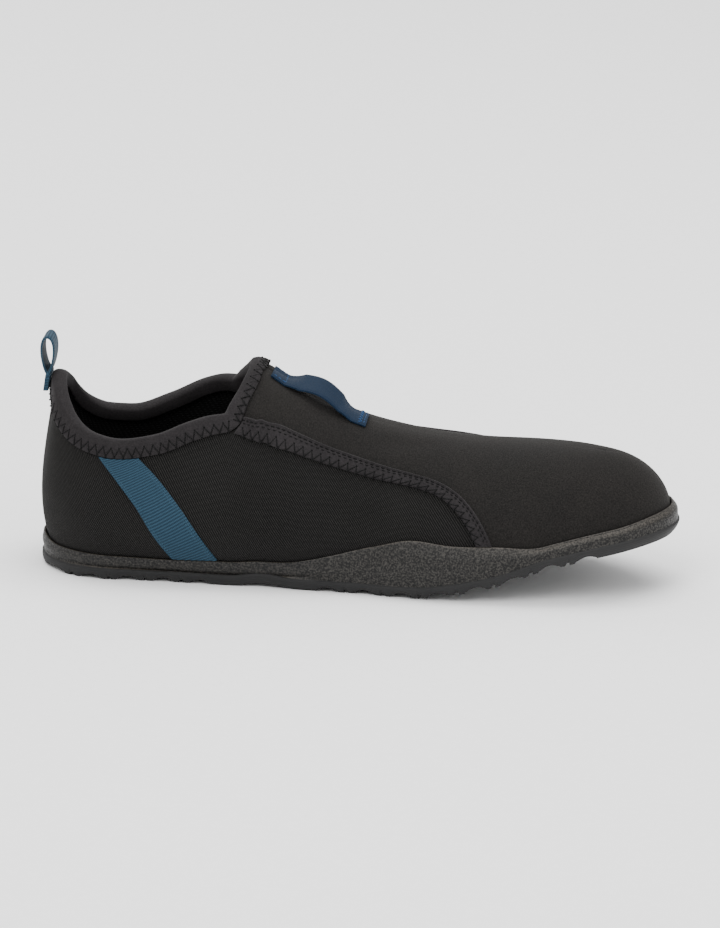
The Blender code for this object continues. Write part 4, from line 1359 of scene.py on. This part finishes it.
class Shader:
    """A procedural material built up node by node."""

    def __init__(self, name, colour, roughness, specular=0.10):
        self.material = bpy.data.materials.new(name)
        self.material.use_nodes = True
        self.material.diffuse_color = (*colour, 1.0)
        self.nodes = self.material.node_tree.nodes
        self.links = self.material.node_tree.links
        self.main = self.nodes["Principled BSDF"]
        self.put(self.main, "Base Color", (*colour, 1.0))
        self.put(self.main, "Roughness", roughness)
        self.put(self.main, "Specular IOR Level", specular)

    def put(self, node, socket, value):
        if isinstance(value, bpy.types.NodeSocket):
            self.links.new(value, node.inputs[socket])
        else:
            node.inputs[socket].default_value = value

    def node(self, kind, sockets=(), **settings):
        """A new node with its settings, and a value or a link for each socket given."""
        node = self.nodes.new(kind)
        for key, value in settings.items():
            setattr(node, key, value)
        for socket, value in sockets:
            self.put(node, socket, value)
        return node

    def math(self, operation, *values):
        return self.node("ShaderNodeMath", enumerate(values), operation=operation).outputs[0]

    def split(self, vector):
        return self.node("ShaderNodeSeparateXYZ", [(0, vector)]).outputs[:3]

    def cloth_axes(self):
        """The cloth's own directions in metres: along and across."""
        return self.split(self.node("ShaderNodeUVMap", uv_map="cloth").outputs[0])[:2]

    def noise(self, scale, detail=2.0, roughness=0.6):
        where = self.node("ShaderNodeTexCoord").outputs["Object"]
        sockets = {"Vector": where, "Scale": scale, "Detail": detail, "Roughness": roughness}
        return self.node("ShaderNodeTexNoise", sockets.items()).outputs[0]

    def half(self, turn):
        """Sine of a turn, moved to run from 0 to 1."""
        return self.math("MULTIPLY_ADD", self.math("SINE", turn), 0.5, 0.5)

    def wave(self, along, pitch, phase=0.0):
        """A smooth wave of a given pitch in metres, from 0 to 1."""
        return self.half(self.math("MULTIPLY_ADD", along, 2.0 * pi / pitch, phase))

    def mix(self, *parts):
        """Sum of values, each times its weight."""
        total = 0.0
        for value, weight in parts:
            total = self.math("MULTIPLY_ADD", value, weight, total)
        return total

    def blend(self, amount, first, second):
        """Colour between two, by an amount from 0 to 1."""
        first, second = ((*c, 1.0) if isinstance(c, tuple) else c for c in (first, second))
        sockets = [(0, amount), (6, first), (7, second)]
        return self.node("ShaderNodeMix", sockets, data_type="RGBA").outputs[2]

    def span(self, value, *limits):
        """A value between two limits, turned to run from 0 to 1 or between two other limits."""
        return self.node("ShaderNodeMapRange", enumerate((value, *limits))).outputs[0]

    def bump(self, height, distance, strength):
        sockets = [("Height", height), ("Distance", distance), ("Strength", strength)]
        node = self.node("ShaderNodeBump", sockets)
        normal = self.main.inputs["Normal"]
        if normal.links:
            self.links.new(normal.links[0].from_socket, node.inputs["Normal"])
        self.links.new(node.outputs[0], normal)

    def dress(self, colour, bumps, rough=None, sheen=None):
        """Colour, bumps, roughness by a value from 0.3 to 0.7, and sheen, and the material."""
        self.put(self.main, "Base Color", colour)
        for bump in bumps:
            self.bump(*bump)
        if rough:
            self.put(self.main, "Roughness", self.span(rough[0], 0.3, 0.7, *rough[1:]))
        if sheen:
            self.put(self.main, "Sheen Weight", sheen[0])
            self.put(self.main, "Sheen Roughness", sheen[1])
            self.put(self.main, "Sheen Tint", (*sheen[2], 1.0))
        return self.material


def jersey(name, dark, light):
    """Smooth brushed knit over foam rubber, with a fine fleck."""
    shader = Shader(name, dark, 0.9)
    along, across = shader.cloth_axes()
    fleck = shader.noise(1900.0)
    cloud = shader.noise(38.0, 3.0, 0.5)
    stitch = shader.math("MULTIPLY", shader.wave(along, 0.0007), shader.wave(across, 0.0006))
    level = shader.span(shader.mix((fleck, 0.75), (cloud, 0.25)), 0.38, 0.66)
    bumps = [(shader.mix((stitch, 0.4), (fleck, 1.0)), 0.00012, 0.7), (cloud, 0.0006, 0.4)]
    colour = shader.blend(level, dark, light)
    return shader.dress(colour, bumps, (cloud, 0.82, 0.94), (0.03, 0.55, (1.0, 0.96, 0.92)))


def mesh_knit(name, dark, light, pitch, depth):
    """Knit with small dimples in staggered rows."""
    shader = Shader(name, dark, 0.88)
    along, across = shader.cloth_axes()
    turn = shader.mix((along, 2.0 * pi / pitch), (across, pi / pitch))
    dimple = shader.math("MULTIPLY", shader.wave(across, pitch / 2.0), shader.half(turn))
    cloud = shader.noise(45.0, 3.0, 0.5)
    level = shader.mix((dimple, 0.8), (shader.noise(2300.0), 0.35))
    colour = shader.blend(shader.span(level, 0.30, 0.72), dark, light)
    bumps = [(level, depth, 0.9), (cloud, 0.0005, 0.35)]
    return shader.dress(colour, bumps, (cloud, 0.80, 0.92), (0.02, 0.5, (1.0, 0.97, 0.94)))


def microfibre(name, dark, light):
    """Smooth close-woven edging with a soft nap."""
    shader = Shader(name, dark, 0.8)
    along, across = shader.cloth_axes()
    fleck = shader.noise(1500.0, 3.0)
    cloud = shader.noise(60.0, 2.0, 0.5)
    weave = shader.math("MULTIPLY", shader.wave(along, 0.0005), shader.wave(across, 0.0005))
    level = shader.span(shader.mix((fleck, 0.7), (cloud, 0.3)), 0.36, 0.66)
    bumps = [(shader.mix((weave, 0.5), (fleck, 1.0)), 0.00009, 0.6), (cloud, 0.0003, 0.4)]
    colour = shader.blend(level, dark, light)
    return shader.dress(colour, bumps, None, (0.03, 0.5, (1.0, 0.95, 0.97)))


def webbing(name, dark, light):
    """Ribbed webbing: cross ribs, and a fine weave along each rib."""
    shader = Shader(name, dark, 0.6)
    along, across = shader.cloth_axes()
    rib = shader.wave(along, RIB_PITCH, -pi / 2.0)
    yarn = shader.wave(across, 0.0007)
    level = shader.mix((rib, 0.6), (yarn, 0.25), (shader.noise(1700.0), 0.35))
    colour = shader.blend(shader.span(level, 0.2, 1.0), dark, light)
    return shader.dress(colour, [(level, 0.00022, 0.9)], None, (0.03, 0.4, (0.8, 0.95, 1.0)))


def twill(name, dark, light):
    """Close twill tape with fine slanting ribs."""
    shader = Shader(name, dark, 0.62)
    along, across = shader.cloth_axes()
    rib = shader.wave(shader.math("ADD", along, across), 0.00075)
    level = shader.mix((rib, 0.5), (shader.noise(1600.0), 0.4))
    colour = shader.blend(shader.span(level, 0.15, 0.8), dark, light)
    bumps = [(level, 0.00012, 0.8), (shader.noise(90.0, 2.0, 0.5), 0.0004, 0.3)]
    return shader.dress(colour, bumps, None, (0.02, 0.4, (0.85, 0.93, 1.0)))


def grained_rubber(name, dark, light, highlight_colour):
    """Rubber with a fine sparkling grain, and a paler, browner painted highlight where it faces
    up.
    """
    shader = Shader(name, dark, 0.6, 0.25)
    grain = shader.noise(1350.0)
    lean = shader.split(shader.node("ShaderNodeNewGeometry").outputs["Normal"])[2]
    facing = shader.span(lean, 0.34, 0.92)
    # painted highlight: faces that point up blend, through the grain, towards the paler brown
    # highlight colour
    highlight_amount = shader.math("MULTIPLY", facing, shader.span(grain, 0.36, 0.60, 0.35, 1.0))
    colour = shader.blend(highlight_amount, shader.blend(shader.span(grain, 0.42, 0.66), dark, light), highlight_colour)
    bumps = [(grain, 0.00022, 0.8), (shader.noise(30.0, 3.0, 0.5), 0.0003, 0.3)]
    return shader.dress(colour, bumps, (grain, 0.66, 0.42))


def smooth_rubber(name, dark, light):
    """Plain matt rubber with fine level ribs and a little dust."""
    shader = Shader(name, dark, 0.7, 0.25)
    rib = shader.wave(shader.cloth_axes()[1], 0.0011)
    dust = shader.noise(55.0, 4.0)
    level = shader.mix((rib, 0.5), (shader.noise(900.0, 2.0, 0.5), 0.3))
    colour = shader.blend(shader.span(dust, 0.35, 0.75), dark, light)
    return shader.dress(colour, [(level, 0.00012, 0.7)], (dust, 0.58, 0.76))


def thread(name, dark, light):
    """Twisted sewing thread."""
    shader = Shader(name, dark, 0.55)
    fleck = shader.noise(2600.0)
    colour = shader.blend(shader.span(fleck, 0.35, 0.7), dark, light)
    return shader.dress(colour, [(fleck, 0.00006, 0.8)], None, (0.03, 0.4, (1.0, 1.0, 1.0)))


def add_object(name, data, place, aim):
    """A lamp or camera at a place, turned to look along a direction."""
    holder = bpy.data.objects.new(name, data)
    holder.location = place
    holder.rotation_euler = aim.to_track_quat("-Z", "Y").to_euler()
    scene.collection.objects.link(holder)
    return holder


def make_stage():
    """Wide pale floor, soft lights and the camera."""
    lines = [FLOOR_REACH * (2.0 * i / FLOOR_CELLS - 1.0) for i in range(FLOOR_CELLS + 1)]
    points = [Vector((x, y, 0.0)) - SHIFT for x in lines for y in lines]
    paper = Shader("paper", (0.93, 0.93, 0.93), 0.9)
    grain = paper.span(paper.noise(220.0, 2.0, 0.5), 0.3, 0.7)
    paper.dress(paper.blend(grain, (0.92, 0.92, 0.922), (0.94, 0.94, 0.94)), [])
    faces, _ = grid_faces(len(lines), len(lines))
    floor_piece = make_piece("floor", points, faces, [paper.material])

    world = bpy.data.worlds.new("studio")
    world.use_nodes = True
    background = world.node_tree.nodes["Background"]
    background.inputs[0].default_value = (1.0, 1.0, 1.0, 1.0)
    background.inputs[1].default_value = WORLD_LIGHT
    scene.world = world

    for name, place, size, power in LAMPS:
        lamp = bpy.data.lights.new(name, "AREA")
        lamp.size = size
        lamp.energy = power
        add_object(name, lamp, place, Vector((0.0, 0.0, 0.04)) - Vector(place))

    camera = bpy.data.cameras.new("camera")
    camera.sensor_fit = "HORIZONTAL"
    camera.sensor_width = SENSOR_WIDTH
    camera.lens = SENSOR_WIDTH * CAMERA_DISTANCE / FRAME_WIDTH
    camera.clip_end = 20.0
    tilt = radians(CAMERA_ELEVATION)
    turn = radians(CAMERA_TURN)
    way = Vector((sin(turn) * cos(tilt), -cos(turn) * cos(tilt), sin(tilt)))
    scene.camera = add_object("camera", camera, CAMERA_TARGET + way * CAMERA_DISTANCE, -way)


VAMP = jersey("vamp_jersey", (0.0046, 0.0043, 0.0040), (0.0148, 0.0135, 0.0125))
SIDE_KNIT = mesh_knit("side_knit", (0.0012,) * 3, (0.0280, 0.0265, 0.0250), 0.0010, 0.00026)
LINING = mesh_knit("mesh_lining", (0.0015,) * 3, (0.0085, 0.0085, 0.0090), 0.0022, 0.0004)
INSOLE_CLOTH = mesh_knit("insole_cloth", (0.002,) * 3, (0.009, 0.009, 0.010), 0.0018, 0.0003)
EDGING = microfibre("edging_cloth", (0.0088, 0.0079, 0.0083), (0.0200, 0.0178, 0.0186))
THREAD = thread("black_thread", (0.0007,) * 3, (0.0040, 0.0038, 0.0040))
WEBBING = webbing("teal_webbing", (0.0055, 0.0160, 0.0280), (0.0200, 0.0510, 0.0800))
STRAP_THREAD = thread("strap_thread", (0.010, 0.030, 0.050), (0.036, 0.080, 0.120))
TWILL = twill("navy_twill", (0.0014, 0.0064, 0.0170), (0.0046, 0.0160, 0.0370))
LABEL_THREAD = thread("blue_thread", (0.010, 0.036, 0.100), (0.028, 0.075, 0.170))
# the grained rubber's third colour is a painted highlight on faces that point up
GRAIN_RUBBER = grained_rubber(
    "grained_rubber", (0.0010,) * 3, (0.0300, 0.0275, 0.0245), (0.0460, 0.0395, 0.0320)
)
SMOOTH_RUBBER = smooth_rubber("smooth_rubber", (0.0085, 0.0085, 0.0088), (0.0160, 0.0156, 0.0157))

net = Net()
FEET = foot_tables()
make_outsole()
make_insole()
make_upper()
make_tape("vamp_tape_medial_cloth", MEDIAL, MEDIAL_TAPE)
make_tape("vamp_tape_lateral_cloth", LATERAL, LATERAL_TAPE)
make_bindings()
make_strap("heel_strap_medial_webbing", MEDIAL, MEDIAL_STRAP)
make_strap("heel_strap_lateral_webbing", LATERAL, LATERAL_STRAP)
make_label()
make_heel_loop()
make_stage()
